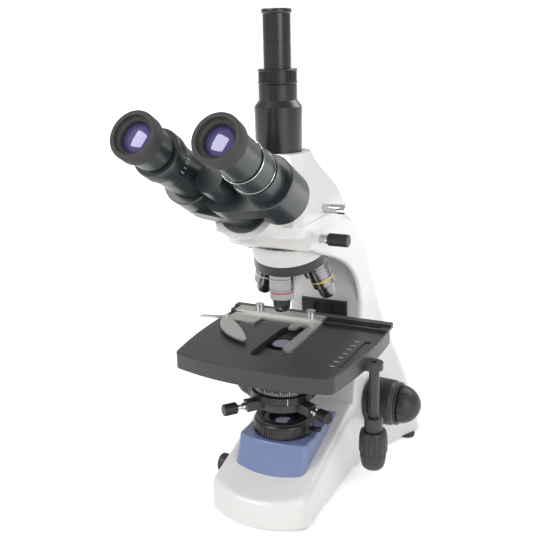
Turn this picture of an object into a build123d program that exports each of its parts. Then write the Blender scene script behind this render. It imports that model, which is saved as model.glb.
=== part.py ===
"""Trinocular compound microscope with a double layer stage and a hinged binocular head.

Millimetres. The optical axis is the Z axis, the table is Z = 0, and the user sits on the -Y side.
"""
import os
from math import asin, atan2, cos, radians, sin, sqrt

from build123d import *

os.makedirs("parts", exist_ok=True)

# Clearances
shaft_clearance = 0.05
slide_gap = 0.3
thread_clearance = 0.16

# Feet and base
foot_height = 4
foot_radius = 9
foot_bore_radius = 2.5
front_foot = (40, -54)
rear_foot = (82, 166)
plate_thickness = 2
plate_rim = 4
plate_corner_radius = 6
stand_neck_y = 62
nose_half_width = 52
nose_front = -81
nose_shoulder = -62
nose_corner_radius = 14
nose_back = 82
deck_height = 54.3
deck_slope = 0.30
deck_edge_radius = 8

# Arm
arm_half_width = 42
arm_front_radius = 4
arm_rear_radius = 14
arm_hollow = 9
arm_joint_height = 190
arm_face = 112
arm_top = 285
arm_front = -25.4
arm_chin_height = 268
arm_root_half_width = 104

# Lamp cover, field lens and field diaphragm
cover_top = 70.8
cover_half_width = 37.8
cover_front = -39
cover_back = 54
cover_bow = 7
cover_lean = 0.5
cover_sink = 2
cover_corner_radius = 7
cover_edge_radius = 2.5
lamp_bore_radius = 22
lamp_chamber_floor = 24
field_mount_radius = 21.7
field_mount_bottom = 58
field_mount_height = 13
field_lens_seat = 74
lamp_heatsink_radius = 14
lamp_dome_radius = 5
field_ring_radius = 31
field_ring_height = 15
field_lens_radius = 15.5

# Electrics
brightness_y = -20
brightness_height = 27
dial_shaft_radius = 3
dial_shaft_length = 10
dial_radius = 10
dial_width = 12
inlet_depth = 16
rear_face = 195
inlet_x = 22
inlet_height = 30
inlet_width = 30
inlet_tall = 22
switch_x = -22
switch_width = 20
switch_tall = 22

# Focusing
focus_y = 109.8
focus_height = 66
focus_boss_half_width = 54.5
focus_pocket_radius = 28.5
sleeve_radius = 9
fine_shaft_radius = 4
tension_ring_radius = 25
tension_ring_width = 4.5
coarse_knob_radius = 25.5
coarse_ring_radius = 23.5
coarse_ring_start = 85
coarse_ring_end = 90
sleeve_half_length = 80
fine_shaft_half_length = 104
fine_knob_radius = 21
fine_knob_length = 22
guide_half_width = 26.3
guide_bottom = 98
guide_top = 176
guide_depth = 45
guide_plate_thickness = 4
tongue_half_width = 12
carriage_half_width = 24
carriage_front = 92
carriage_bottom = 104
carriage_top = 143
rack_half_width = 8
rack_thickness = 6
rack_back = 100.4
rack_bottom = 62
focus_down_travel = 3
condenser_travel = 8
condenser_tongue_half_width = 8
condenser_knob_y = 88
condenser_knob_height = 118

# Nosepiece
turret_tilt = 16
turret_offset = 24.5
turret_seat_height = 239
turret_radius = 37.5
turret_height = 9.6
dome_radius = 36.5
recess_half_width = 38.7
recess_front = -6
recess_back = 92
recess_ceiling = 262
objective_radius = 11.7
objective_thread_radius = 10
objective_thread_length = 4.5
objective_nose_length = 5.5
objective_tip_radius = 6.5
turret_boss_radius = 12.5
pivot_radius = 6
objective_specs = {
    "objective_4x": (0, 41),
    "objective_10x": (90, 41),
    "objective_40x": (180, 44),
    "objective_100x": (270, 44),
}

# Stage
stage_top = 167.4
stage_depth = 15.8
stage_skin = 5
stage_wall = 4
stage_front = -84
stage_back = 77
stage_corner_x = 81
stage_corner_y = -71
stage_side_bow = 90
stage_rear_x = 88
stage_corner_radius = 9
stage_slot_half_width = 13.8
stage_slot_front = -53
stage_slot_back = 38
stage_forward_travel = 22
stage_back_travel = 28
lower_plate_thickness = 8
lower_plate_half_width = 74
lower_plate_front = -37
lower_plate_back = 49
lower_plate_hole_radius = 17
stage_rib_x = 57
stage_rib_half_width = 3
stage_rib_height = 2
bracket_front = 24
scale_left = 77.6
scale_right = 84.3
scale_front = -46
scale_back = 26
scale_depth = 1.5
rail_front = 55
rail_step = 66
rail_back = 75
rail_left = -89
rail_right = 91
rail_height = 5
rail_shelf_height = 3
rail_slot_y = 60.5
holder_thickness = 2.4
holder_post_radius = 2
holder_screw_radius = 5
holder_screw_places = (5, -55)
finger_pivot = (-77, 27)
finger_pin_radius = 2
finger_boss_radius = 5
finger_thickness = 2
drive_x = 95.9
drive_rod_radius = 5
drive_bottom = 47
drive_knob_radius = 14
drive_lug_radius = 8.5
drive_lug_height = 7
drive_shaft_radius = 2.5
drive_collar_radius = 9
drive_collar_height = 14
y_knob_bottom = 66
y_knob_top = 87.5

# Condenser
condenser_lens_radius = 10
field_side_lens_radius = 17
condenser_top = 163
condenser_bottom = 98.5
condenser_barrel_radius = 21
condenser_neck_radius = 15.5
iris_ring_radius = 33.3
iris_ring_bottom = 109.6
iris_ring_height = 8.4
iris_seat_radius = 24
scale_ring_radius = 30.5
scale_ring_top = 127
carrier_radius = 27
carrier_bore = 21.3
carrier_back = 18
carrier_arm_half_width = 13
carrier_slide_front = 78
screw_angles = {"left": -129, "right": -24}
screw_height = 104.5
screw_block_end = 42
screw_neck_radius = 2.5
screw_inner_end = 21.6
screw_grip_start = 52
screw_grip_length = 14
screw_grip_radius = 6
condenser_knob_inner = 14
condenser_knob_end = 70
condenser_knob_radius = 12
condenser_knob_width = 16

# Head
head_half_width = 45
head_plate_height = 10.5
head_plate_front = -60
head_back = 70
head_top = 354.4
head_tilt = 30
seat_radius = 20
seat_depth = 16
light_bore_radius = 13
clamp_height = 274
clamp_screw_radius = 3
clamp_grip_start = 49.5
clamp_grip_length = 20
clamp_grip_radius = 6
head_plate_shoulder = -50
splitter_y = 5
splitter_height = 302
splitter_radius = 4.5
splitter_travel = 12
splitter_end = 65

# Binocular
eye_relief_y = -179.9
eye_relief_z = 388.8
half_pupil_distance = 35.8
hinge_drop = 9.7
housing_front = 89
housing_back = 128
barrel_radius = 24.3
lug_radius = 19
hinge_shaft_radius = 8
hinge_socket_depth = 12
hub_front = 62
hub_radius = 12
drum_radius = 24
boss_radius = 30
boss_face = 131
head_face = 153.7
tube_radius = 18.5
tube_front = 44
eyepiece_sleeve_radius = 11.6
eyepiece_radius = 17.5
eyecup_radius = 20.2
eyecup_length = 13
eyecup_overlap = 8
eyecup_mouth_radius = 16.5
eye_lens_radius = 12.5
eye_lens_depth = 3
eyepiece_sleeve_end = 72
tube_band_start = 67
tube_band_end = 72
tube_band_radius = 20
dioptre_radius = 21
dioptre_start = 34.3
dioptre_end = 57.7
dioptre_travel = 2.5

# Photo tube
photo_base_radius = 21.8
photo_base_top = 395
photo_neck_radius = 17.4
photo_neck_top = 414.9
clamp_ring_radius = 18
clamp_ring_top = 428.6
photo_sleeve_radius = 12.4
photo_sleeve_bottom = 384
photo_sleeve_step = 4
photo_flange_radius = 13.4
photo_top = 480.4
photo_flange_height = 4
photo_port_radius = 11.6

# Places worked out from the sizes above
base_floor = foot_height
housing_split = (housing_front + housing_back) / 2
stage_bottom = stage_top - stage_depth
lower_plate_top = stage_top - stage_skin - slide_gap
lower_plate_bottom = lower_plate_top - lower_plate_thickness


def deck_at(y):
    """Height of the sloping top face of the base at a distance back from the optical axis."""
    return deck_height + deck_slope * y


def plate_outline(inset):
    """Corners of the base plate and of the hollow above it, kept in from the casting's edge."""
    half = nose_half_width - inset
    tail = arm_root_half_width - inset - 16
    return (
        (-half, nose_shoulder + inset),
        (half, nose_shoulder + inset),
        (half, stand_neck_y),
        (tail, rear_face - 2 * inset),
        (-tail, rear_face - 2 * inset),
        (-half, stand_neck_y),
    )


# The turret's own plane, with its Z axis pointing down and back along the pivot
turret_lean = radians(turret_tilt)
cone_tip = (0, 0, turret_seat_height + turret_offset / sin(turret_lean))
turret_plane = Plane(origin=cone_tip, x_dir=(1, 0, 0), z_dir=(0, sin(turret_lean), -cos(turret_lean)))
seat_distance = turret_offset / sin(turret_lean)
turret_rim = seat_distance * cos(turret_lean)
turret_back = turret_rim - turret_height

# Stand casting: the base nose, the flared root of the arm and the curved arm, cast in one
arm_sections = (
    (base_floor, 60, nose_half_width, 195, arm_root_half_width),
    (45, 63, 51.5, 193.5, 90),
    (85, 76, 49.5, 190, 75),
    (120, 98, 44, 184, 62),
    (155, 111, 42.5, 175, 51),
    (arm_joint_height, 109, arm_half_width, 165, arm_half_width),
)
with BuildPart() as stand_root:
    for height, front, front_half, rear, rear_half in arm_sections:
        flare = rear_half - front_half
        waist = (front_half + rear_half) / 2 - arm_hollow * flare / 52 - 0.4
        with BuildSketch(Plane.XY.offset(height)):
            with BuildLine():
                Line((-front_half, front), (front_half, front))
                ThreePointArc((front_half, front), (waist, (front + rear) / 2), (rear_half, rear))
                Line((rear_half, rear), (-rear_half, rear))
                ThreePointArc((-rear_half, rear), (-waist, (front + rear) / 2), (-front_half, front))
            make_face()
            fillet(vertices().group_by(Axis.Y)[0], arm_front_radius)
            fillet(vertices().group_by(Axis.Y)[-1], arm_rear_radius)
    loft()

arm_bends = (
    ((109, arm_joint_height), (165, arm_joint_height)),
    ((100, 206), (151, 212)),
    ((82, 223), (137, 236)),
    ((52, 239.5), (117, 259)),
    ((22, 251), (84, 281)),
    ((-4, 260), (18, 297)),
    ((arm_front, arm_chin_height), (arm_front, 297)),
)
with BuildPart() as arm_curve:
    for inner, outer in arm_bends:
        depth = sqrt((outer[0] - inner[0]) ** 2 + (outer[1] - inner[1]) ** 2)
        lean = atan2(outer[1] - inner[1], outer[0] - inner[0])
        section_plane = Plane(
            origin=(0, (inner[0] + outer[0]) / 2, (inner[1] + outer[1]) / 2),
            x_dir=(1, 0, 0),
            z_dir=(0, -sin(lean), cos(lean)),
        )
        with BuildSketch(section_plane):
            Rectangle(2 * arm_half_width, depth)
            fillet(vertices().group_by(Axis.Y)[0], arm_front_radius)
            fillet(vertices().group_by(Axis.Y)[-1], arm_rear_radius)
    loft()

with BuildPart() as base_nose:
    with BuildSketch(Plane.XY.offset(base_floor)):
        with BuildLine():
            ThreePointArc((-nose_half_width, nose_shoulder), (0, nose_front), (nose_half_width, nose_shoulder))
            Line((nose_half_width, nose_shoulder), (nose_half_width, nose_back))
            Line((nose_half_width, nose_back), (-nose_half_width, nose_back))
            Line((-nose_half_width, nose_back), (-nose_half_width, nose_shoulder))
        make_face()
        fillet(vertices().sort_by(Axis.Y)[:2], nose_corner_radius)
    extrude(amount=deck_at(nose_back))
    deck_plane = Plane(origin=(0, 0, deck_height), z_dir=(0, -deck_slope, 1))
    split(bisect_by=deck_plane, keep=Keep.BOTTOM)
    deck_face = faces().sort_by(Axis.Z)[-1]
    rim = deck_face.edges().filter_by(lambda edge: edge.center().Y < nose_back - 1)
    fillet(rim, deck_edge_radius)

# Lamp cover: the bowed plastic insert on the deck that carries the field lens
with BuildPart() as cover_block:
    for height, front in ((deck_at(cover_front) - cover_sink, cover_front), (cover_top, cover_front + cover_lean * 24)):
        with BuildSketch(Plane.XY.offset(height)):
            with BuildLine():
                ThreePointArc((-cover_half_width, front), (0, front - cover_bow), (cover_half_width, front))
                Line((cover_half_width, front), (cover_half_width, cover_back))
                Line((cover_half_width, cover_back), (-cover_half_width, cover_back))
                Line((-cover_half_width, cover_back), (-cover_half_width, front))
            make_face()
            fillet(vertices().sort_by(Axis.Y)[:2], cover_corner_radius)
    loft(ruled=True)
    top_edges = faces().sort_by(Axis.Z)[-1].edges().filter_by(lambda edge: edge.center().Y < cover_back - 1)
    fillet(top_edges, cover_edge_radius)
    split(bisect_by=deck_plane.offset(-cover_sink), keep=Keep.TOP)

with BuildPart() as lamp_cover:
    add(cover_block.part)
    with BuildSketch(Plane.XY.offset(base_floor)):
        Circle(lamp_bore_radius)
    extrude(amount=photo_top, mode=Mode.SUBTRACT)

with BuildPart() as stand_casting:
    add(stand_root.part)
    add(arm_curve.part)
    add(base_nose.part)
    split(bisect_by=Plane.XY.offset(arm_top), keep=Keep.BOTTOM)
    # the turret recess, open below
    with BuildSketch(Plane.YZ):
        with BuildLine():
            Polyline(
                (recess_front, turret_seat_height - 60),
                (recess_front, recess_ceiling),
                (recess_back - 20, recess_ceiling),
            )
            Spline(
                (recess_back - 20, recess_ceiling),
                (recess_back + 6, 238),
                (arm_face, 200),
                tangents=((1, 0), (0, -1)),
            )
            Polyline(
                (arm_face, 200),
                (arm_face, turret_seat_height - 60),
                (recess_front, turret_seat_height - 60),
            )
        make_face()
    extrude(amount=recess_half_width, both=True, mode=Mode.SUBTRACT)
    with BuildSketch(turret_plane.offset(turret_back - 2 * slide_gap)):
        Circle(turret_radius + 2 * slide_gap)
    extrude(amount=turret_height + 30, mode=Mode.SUBTRACT)
    # the flat front of the arm with the pocket for the focusing slide
    with BuildSketch(Plane.XY.offset(guide_bottom)):
        with Locations((0, arm_face - guide_depth / 2)):
            Rectangle(2 * (guide_half_width + slide_gap), guide_depth)
    extrude(amount=guide_top + 30 - guide_bottom, mode=Mode.SUBTRACT)
    # room in front of the arm for the condenser slide at its lowest
    with BuildSketch(Plane.XY.offset(condenser_bottom - condenser_travel - focus_down_travel)):
        with Locations((0, carriage_front - carrier_radius)):
            Rectangle(2 * (carrier_arm_half_width + 1), 2 * (carrier_radius + slide_gap))
    extrude(amount=guide_bottom + condenser_travel - condenser_bottom + 2 * focus_down_travel, mode=Mode.SUBTRACT)
    # the slot for the rack and the bore for the coarse sleeve
    with BuildSketch(Plane.XY.offset(rack_bottom - 6)):
        with Locations((0, rack_back - rack_thickness / 2)):
            Rectangle(2 * rack_half_width + 2 * slide_gap, rack_thickness + 2 * slide_gap)
    extrude(amount=guide_bottom - rack_bottom + 7, mode=Mode.SUBTRACT)
    with BuildSketch(Plane.YZ):
        with Locations((focus_y, focus_height)):
            Circle(sleeve_radius + shaft_clearance)
    extrude(amount=arm_root_half_width, both=True, mode=Mode.SUBTRACT)
    for side in (-1, 1):
        with BuildSketch(Plane.YZ.offset(side * focus_boss_half_width)):
            with Locations((focus_y, focus_height)):
                Circle(focus_pocket_radius)
        extrude(amount=side * 40, mode=Mode.SUBTRACT)
    # the recess for the lamp cover and the lamp chamber under it
    add(cover_block.part, mode=Mode.SUBTRACT)
    with BuildSketch(Plane.XY.offset(lamp_chamber_floor - 4)):
        Circle(lamp_bore_radius)
    extrude(amount=cover_top - lamp_chamber_floor, mode=Mode.SUBTRACT)
    # the hollow underside, closed by the base plate
    with BuildSketch(Plane.XY.offset(base_floor)):
        with BuildLine():
            Polyline(*plate_outline(plate_rim), close=True)
        make_face()
        fillet(vertices(), plate_corner_radius)
    extrude(amount=plate_thickness, mode=Mode.SUBTRACT)
    with BuildSketch(Plane.XY.offset(base_floor)):
        with BuildLine():
            Polyline(*plate_outline(2 * plate_rim), close=True)
        make_face()
        fillet(vertices(), plate_corner_radius)
    extrude(amount=lamp_chamber_floor - 3 - base_floor, mode=Mode.SUBTRACT)
    # the seat for the head, the light way and the hole for the head clamp
    with BuildSketch(Plane.XY.offset(arm_top - seat_depth)):
        Circle(seat_radius + shaft_clearance)
    extrude(amount=seat_depth, mode=Mode.SUBTRACT)
    with BuildSketch(Plane.XY.offset(recess_ceiling - 1)):
        Circle(light_bore_radius)
    extrude(amount=arm_top - recess_ceiling, mode=Mode.SUBTRACT)
    with BuildSketch(Plane.YZ):
        with Locations((0, clamp_height)):
            Circle(clamp_screw_radius + shaft_clearance)
    extrude(amount=arm_half_width + 1, mode=Mode.SUBTRACT)
    # the seats for the brightness knob, the mains inlet and the switch
    with BuildSketch(Plane.YZ.offset(-nose_half_width - 1)):
        with Locations((brightness_y, brightness_height)):
            Circle(dial_shaft_radius + shaft_clearance)
    extrude(amount=dial_shaft_length + 1.3, mode=Mode.SUBTRACT)
    with BuildSketch(Plane.XZ.offset(-rear_face - 5)):
        with Locations((inlet_x, inlet_height)):
            Rectangle(inlet_width, inlet_tall)
        with Locations((switch_x, inlet_height)):
            Rectangle(switch_width, switch_tall)
    extrude(amount=25, mode=Mode.SUBTRACT)

with BuildPart() as base_plate:
    with BuildSketch(Plane.XY.offset(base_floor)):
        with BuildLine():
            Polyline(*plate_outline(plate_rim), close=True)
        make_face()
        fillet(vertices(), plate_corner_radius)
    extrude(amount=plate_thickness)

with BuildPart() as rubber_feet:
    for x, y in (front_foot, rear_foot):
        with BuildSketch(Plane.XY):
            with Locations((x, y), (-x, y)):
                Circle(foot_radius)
        extrude(amount=foot_height)
    fillet(edges().filter_by(Plane.XY).group_by(Axis.Z)[0], 1)

# Field lens in its mount, the lamp under it and the field diaphragm ring round it
with BuildPart() as field_lens_mount:
    with BuildSketch(Plane.XY.offset(field_mount_bottom)):
        Circle(lamp_bore_radius)
        Circle(field_lens_radius, mode=Mode.SUBTRACT)
    extrude(amount=cover_top - field_mount_bottom)
    with BuildSketch(Plane.XY.offset(cover_top)):
        Circle(field_mount_radius)
        Circle(field_lens_radius, mode=Mode.SUBTRACT)
    extrude(amount=field_mount_height)
    chamfer(edges().filter_by(GeomType.CIRCLE).group_by(Axis.Z)[-1].sort_by(SortBy.RADIUS)[-1], 1)
    with BuildSketch(Plane.XY.offset(field_lens_seat - 3)):
        Circle(field_lens_radius)
        Circle(field_lens_radius - 2, mode=Mode.SUBTRACT)
    extrude(amount=3)

with BuildPart() as field_lens:
    with BuildSketch(Plane.XY.offset(field_lens_seat)):
        Circle(field_lens_radius)
    extrude(amount=3)
    with BuildSketch(Plane.XY.offset(field_lens_seat + 3)):
        Circle(field_lens_radius)
    with BuildSketch(Plane.XY.offset(field_lens_seat + 5)):
        Circle(field_lens_radius - 7)
    loft()

with BuildPart() as field_diaphragm_ring:
    with BuildSketch(Plane.XY.offset(cover_top + slide_gap)):
        Circle(field_ring_radius)
        Circle(field_mount_radius + shaft_clearance, mode=Mode.SUBTRACT)
    extrude(amount=field_ring_height)
    chamfer(edges().filter_by(GeomType.CIRCLE).group_by(Axis.Z)[-1], 1.2)
    with BuildSketch(Plane.XY.offset(cover_top + 1)):
        with Locations(Pos(field_ring_radius + 4, 0) * Rot(0, 0, 0)):
            SlotOverall(13, 5)
    extrude(amount=8)

with BuildPart() as led_lamp:
    with BuildSketch(Plane.XY.offset(base_floor + plate_thickness)):
        Circle(lamp_heatsink_radius)
    extrude(amount=lamp_chamber_floor - base_floor)
    with BuildSketch(Plane.XY.offset(lamp_chamber_floor + plate_thickness)):
        Circle(lamp_dome_radius)
    extrude(amount=lamp_dome_radius)
    fillet(faces().sort_by(Axis.Z)[-1].edges(), lamp_dome_radius - 0.5)

# Brightness dial on the left of the base, switch and mains inlet at the back
with BuildPart() as brightness_knob:
    with BuildSketch(Plane.YZ.offset(-nose_half_width - slide_gap)):
        with Locations((brightness_y, brightness_height)):
            Circle(dial_radius)
    extrude(amount=-dial_width)
    chamfer(faces().sort_by(Axis.X)[0].edges(), 1.2)
    with BuildSketch(Plane.YZ.offset(-nose_half_width - slide_gap)):
        with Locations((brightness_y, brightness_height)):
            Circle(dial_shaft_radius)
    extrude(amount=dial_shaft_length)

with BuildPart() as power_inlet:
    with BuildSketch(Plane.XZ.offset(-rear_face)):
        with Locations((inlet_x, inlet_height)):
            Rectangle(inlet_width, inlet_tall)
    extrude(amount=inlet_depth)
    with BuildSketch(Plane.XZ.offset(-rear_face)):
        with Locations((inlet_x, inlet_height)):
            Rectangle(inlet_width - 6, inlet_tall - 6)
    extrude(amount=inlet_depth - 4, mode=Mode.SUBTRACT)
    with BuildSketch(Plane.XZ.offset(-rear_face + inlet_depth - 4)):
        with Locations((inlet_x, inlet_height)):
            with Locations((-5, -1), (0, 2), (5, -1)):
                Rectangle(2, 4)
    extrude(amount=4 - inlet_depth + 3)

with BuildPart() as power_switch:
    with BuildSketch(Plane.YZ.offset(switch_x - switch_width / 2 + slide_gap)):
        with BuildLine():
            Polyline(
                (rear_face - 9, inlet_height - switch_tall / 2 + 2.6),
                (rear_face - 1.6, inlet_height - switch_tall / 2 + 1.6),
                (rear_face - 2.4, inlet_height),
                (rear_face + 1, inlet_height + switch_tall / 2 - 1.6),
                (rear_face - 9, inlet_height + switch_tall / 2 - 2.6),
                close=True,
            )
        make_face()
    extrude(amount=switch_width - 2 * slide_gap)

# Focusing: coarse sleeve and knobs, fine shaft and knobs, tension ring, guide and carriage
with BuildPart() as coarse_sleeve:
    with BuildSketch(Plane.YZ):
        with Locations((focus_y, focus_height)):
            Circle(sleeve_radius)
            Circle(fine_shaft_radius + shaft_clearance, mode=Mode.SUBTRACT)
    extrude(amount=sleeve_half_length, both=True)

with BuildPart() as fine_shaft:
    with BuildSketch(Plane.YZ):
        with Locations((focus_y, focus_height)):
            Circle(fine_shaft_radius)
    extrude(amount=fine_shaft_half_length, both=True)


def coarse_knob(side, start):
    """A coarse knob: the wide grip, the narrower ring for the scale and the bore for the sleeve."""
    with BuildPart() as knob:
        with BuildSketch(Plane.YZ.offset(side * start)):
            with Locations((focus_y, focus_height)):
                Circle(coarse_knob_radius)
        extrude(amount=side * (coarse_ring_start - start))
        chamfer(edges().filter_by(GeomType.CIRCLE), 1)
        with BuildSketch(Plane.YZ.offset(side * coarse_ring_start)):
            with Locations((focus_y, focus_height)):
                Circle(coarse_ring_radius)
        extrude(amount=side * (coarse_ring_end - coarse_ring_start))
        with BuildSketch(Plane.YZ.offset(side * start)):
            with Locations((focus_y, focus_height)):
                Circle(sleeve_radius)
        extrude(amount=side * (sleeve_half_length - start), mode=Mode.SUBTRACT)
        with BuildSketch(Plane.YZ.offset(side * start)):
            with Locations((focus_y, focus_height)):
                Circle(fine_shaft_radius + 1)
        extrude(amount=side * 40, mode=Mode.SUBTRACT)
    return knob.part


def fine_knob(side):
    """A fine knob: a domed cap fixed on the end of the fine shaft."""
    with BuildPart() as knob:
        with BuildSketch(Plane.YZ.offset(side * (coarse_ring_end + slide_gap))):
            with Locations((focus_y, focus_height)):
                Circle(fine_knob_radius)
        extrude(amount=side * fine_knob_length)
        outer_face = faces().sort_by(Axis.X)[-1 if side > 0 else 0]
        fillet(outer_face.edges(), 7)
        with BuildSketch(Plane.YZ.offset(side * coarse_ring_end)):
            with Locations((focus_y, focus_height)):
                Circle(fine_shaft_radius)
        extrude(amount=side * (fine_shaft_half_length - coarse_ring_end), mode=Mode.SUBTRACT)
    return knob.part


ring_start = focus_boss_half_width + slide_gap
coarse_knob_right = coarse_knob(1, ring_start + tension_ring_width + slide_gap)
coarse_knob_left = coarse_knob(-1, ring_start)
fine_knob_right = fine_knob(1)
fine_knob_left = fine_knob(-1)

with BuildPart() as tension_ring:
    with BuildSketch(Plane.YZ.offset(ring_start)):
        with Locations((focus_y, focus_height)):
            Circle(tension_ring_radius)
            Circle(sleeve_radius + shaft_clearance, mode=Mode.SUBTRACT)
    extrude(amount=tension_ring_width)

with BuildPart() as focus_guide:
    with BuildSketch(Plane.XY.offset(guide_bottom)):
        with Locations((0, arm_face - guide_plate_thickness / 2)):
            Rectangle(2 * guide_half_width, guide_plate_thickness)
            Rectangle(2 * (tongue_half_width + slide_gap), guide_plate_thickness, mode=Mode.SUBTRACT)
    extrude(amount=guide_top - guide_bottom)
    with BuildSketch(Plane.XY.offset(guide_top - 4)):
        with Locations((0, arm_face - guide_plate_thickness / 2)):
            Rectangle(2 * guide_half_width, guide_plate_thickness)
    extrude(amount=4)

carriage_back = arm_face - guide_plate_thickness - slide_gap
with BuildPart() as focus_carriage:
    with BuildSketch(Plane.XY.offset(carriage_bottom)):
        with Locations((0, (carriage_front + carriage_back) / 2)):
            Rectangle(2 * carriage_half_width, carriage_back - carriage_front)
        with Locations((0, (carriage_front + arm_face - slide_gap) / 2)):
            Rectangle(2 * tongue_half_width, arm_face - slide_gap - carriage_front)
    extrude(amount=carriage_top - carriage_bottom)
    with BuildSketch(Plane.XY.offset(rack_bottom)):
        with Locations((0, rack_back - rack_thickness / 2)):
            Rectangle(2 * rack_half_width, rack_thickness)
    extrude(amount=carriage_bottom - rack_bottom)
    # the groove for the condenser slide and the ear for its knob
    with BuildSketch(Plane.XY.offset(carriage_bottom)):
        with Locations((0, carriage_front)):
            Rectangle(2 * (condenser_tongue_half_width + slide_gap), 8)
    extrude(amount=carriage_top - carriage_bottom, mode=Mode.SUBTRACT)
    with BuildSketch(Plane.YZ.offset(-carriage_half_width)):
        with Locations((carriage_front - 1, condenser_knob_height)):
            Rectangle(22, 16)
    extrude(amount=8)
    with BuildSketch(Plane.YZ.offset(-carriage_half_width)):
        with Locations((condenser_knob_y, condenser_knob_height)):
            Circle(dial_shaft_radius + shaft_clearance)
    extrude(amount=8, mode=Mode.SUBTRACT)

# Nosepiece: the fixed dome with its pivot, the turret ring and four objectives
def objective_plane(turn):
    """The plane whose Z axis runs down an objective, from the point where all four axes meet."""
    angle = radians(turn)
    return Plane(
        origin=cone_tip,
        z_dir=(
            sin(turret_lean) * sin(angle),
            sin(turret_lean) * cos(turret_lean) * (1 - cos(angle)),
            -cos(turret_lean) ** 2 - sin(turret_lean) ** 2 * cos(angle),
        ),
    )


with BuildPart() as nosepiece_base:
    with BuildSketch(Plane.YZ):
        with BuildLine():
            Polyline((0, 0), (0, 24), (22, 24))
            ThreePointArc((22, 24), (32.5, 18), (dome_radius, 8))
            Polyline((dome_radius, 8), (dome_radius, 0), (0, 0))
        make_face()
    revolve(axis=Axis.Z)
    with BuildSketch(Plane.XY):
        Circle(pivot_radius)
    extrude(amount=-turret_height)
dome_plane = Plane(
    origin=turret_plane.offset(turret_back - slide_gap).origin,
    x_dir=(1, 0, 0),
    z_dir=-turret_plane.z_dir,
)
with BuildPart() as nosepiece_dome:
    add(dome_plane.location * nosepiece_base.part)
    add(stand_casting.part, mode=Mode.SUBTRACT)
    with BuildSketch(Plane.XY.offset(recess_ceiling)):
        Circle(light_bore_radius + 30)
    extrude(amount=60, mode=Mode.SUBTRACT)
    with BuildSketch(Plane.XY.offset(turret_seat_height)):
        Circle(objective_thread_radius)
    extrude(amount=60, mode=Mode.SUBTRACT)

with BuildPart() as turret_ring:
    with BuildSketch(turret_plane.offset(turret_back)):
        Circle(turret_radius - 0.8)
    extrude(amount=turret_height, taper=-4)
    for turn in (0, 90, 180, 270):
        with BuildSketch(objective_plane(turn).offset(seat_distance - 6)):
            Circle(turret_boss_radius)
        extrude(amount=6)
    for turn in (0, 90, 180, 270):
        with BuildSketch(objective_plane(turn).offset(seat_distance)):
            Circle(objective_radius + 0.2)
        extrude(amount=10, mode=Mode.SUBTRACT)
        with BuildSketch(objective_plane(turn).offset(seat_distance - 20)):
            Circle(objective_thread_radius + thread_clearance)
        extrude(amount=21, mode=Mode.SUBTRACT)
    with BuildSketch(turret_plane.offset(turret_back - 1)):
        Circle(pivot_radius + shaft_clearance)
    extrude(amount=turret_height + 20, mode=Mode.SUBTRACT)


def objective(turn, length):
    """An objective: threaded stub, straight barrel and tapered nose with the front lens hole."""
    plane = objective_plane(turn)
    with BuildPart() as lens:
        with BuildSketch(plane.offset(seat_distance - objective_thread_length)):
            Circle(objective_thread_radius)
        extrude(amount=objective_thread_length)
        with BuildSketch(plane.offset(seat_distance)):
            Circle(objective_radius)
        extrude(amount=length - objective_nose_length)
        with BuildSketch(plane.offset(seat_distance + length - objective_nose_length)):
            Circle(objective_radius)
        with BuildSketch(plane.offset(seat_distance + length)):
            Circle(objective_tip_radius)
        loft()
        with BuildSketch(plane.offset(seat_distance + length - 1)):
            Circle(objective_tip_radius - 2)
        extrude(amount=1, mode=Mode.SUBTRACT)
    return lens.part


objectives = {name: objective(*spec) for name, spec in objective_specs.items()}

# Stage: the lower plate on its bracket, the upper plate with its skirt, the rail and the slide holder


def stage_outline(inset):
    """Corners and arcs of the upper plate, kept in from its edge."""
    corner_x = stage_corner_x - inset
    with BuildLine() as outline:
        ThreePointArc(
            (-corner_x, stage_corner_y + inset),
            (0, stage_front + inset),
            (corner_x, stage_corner_y + inset),
        )
        ThreePointArc(
            (corner_x, stage_corner_y + inset),
            (stage_side_bow - inset, 5),
            (stage_rear_x - inset, stage_back - inset),
        )
        Line((stage_rear_x - inset, stage_back - inset), (-stage_rear_x + inset, stage_back - inset))
        ThreePointArc(
            (-stage_rear_x + inset, stage_back - inset),
            (-stage_side_bow + inset, 5),
            (-corner_x, stage_corner_y + inset),
        )
    return outline.line


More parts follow.
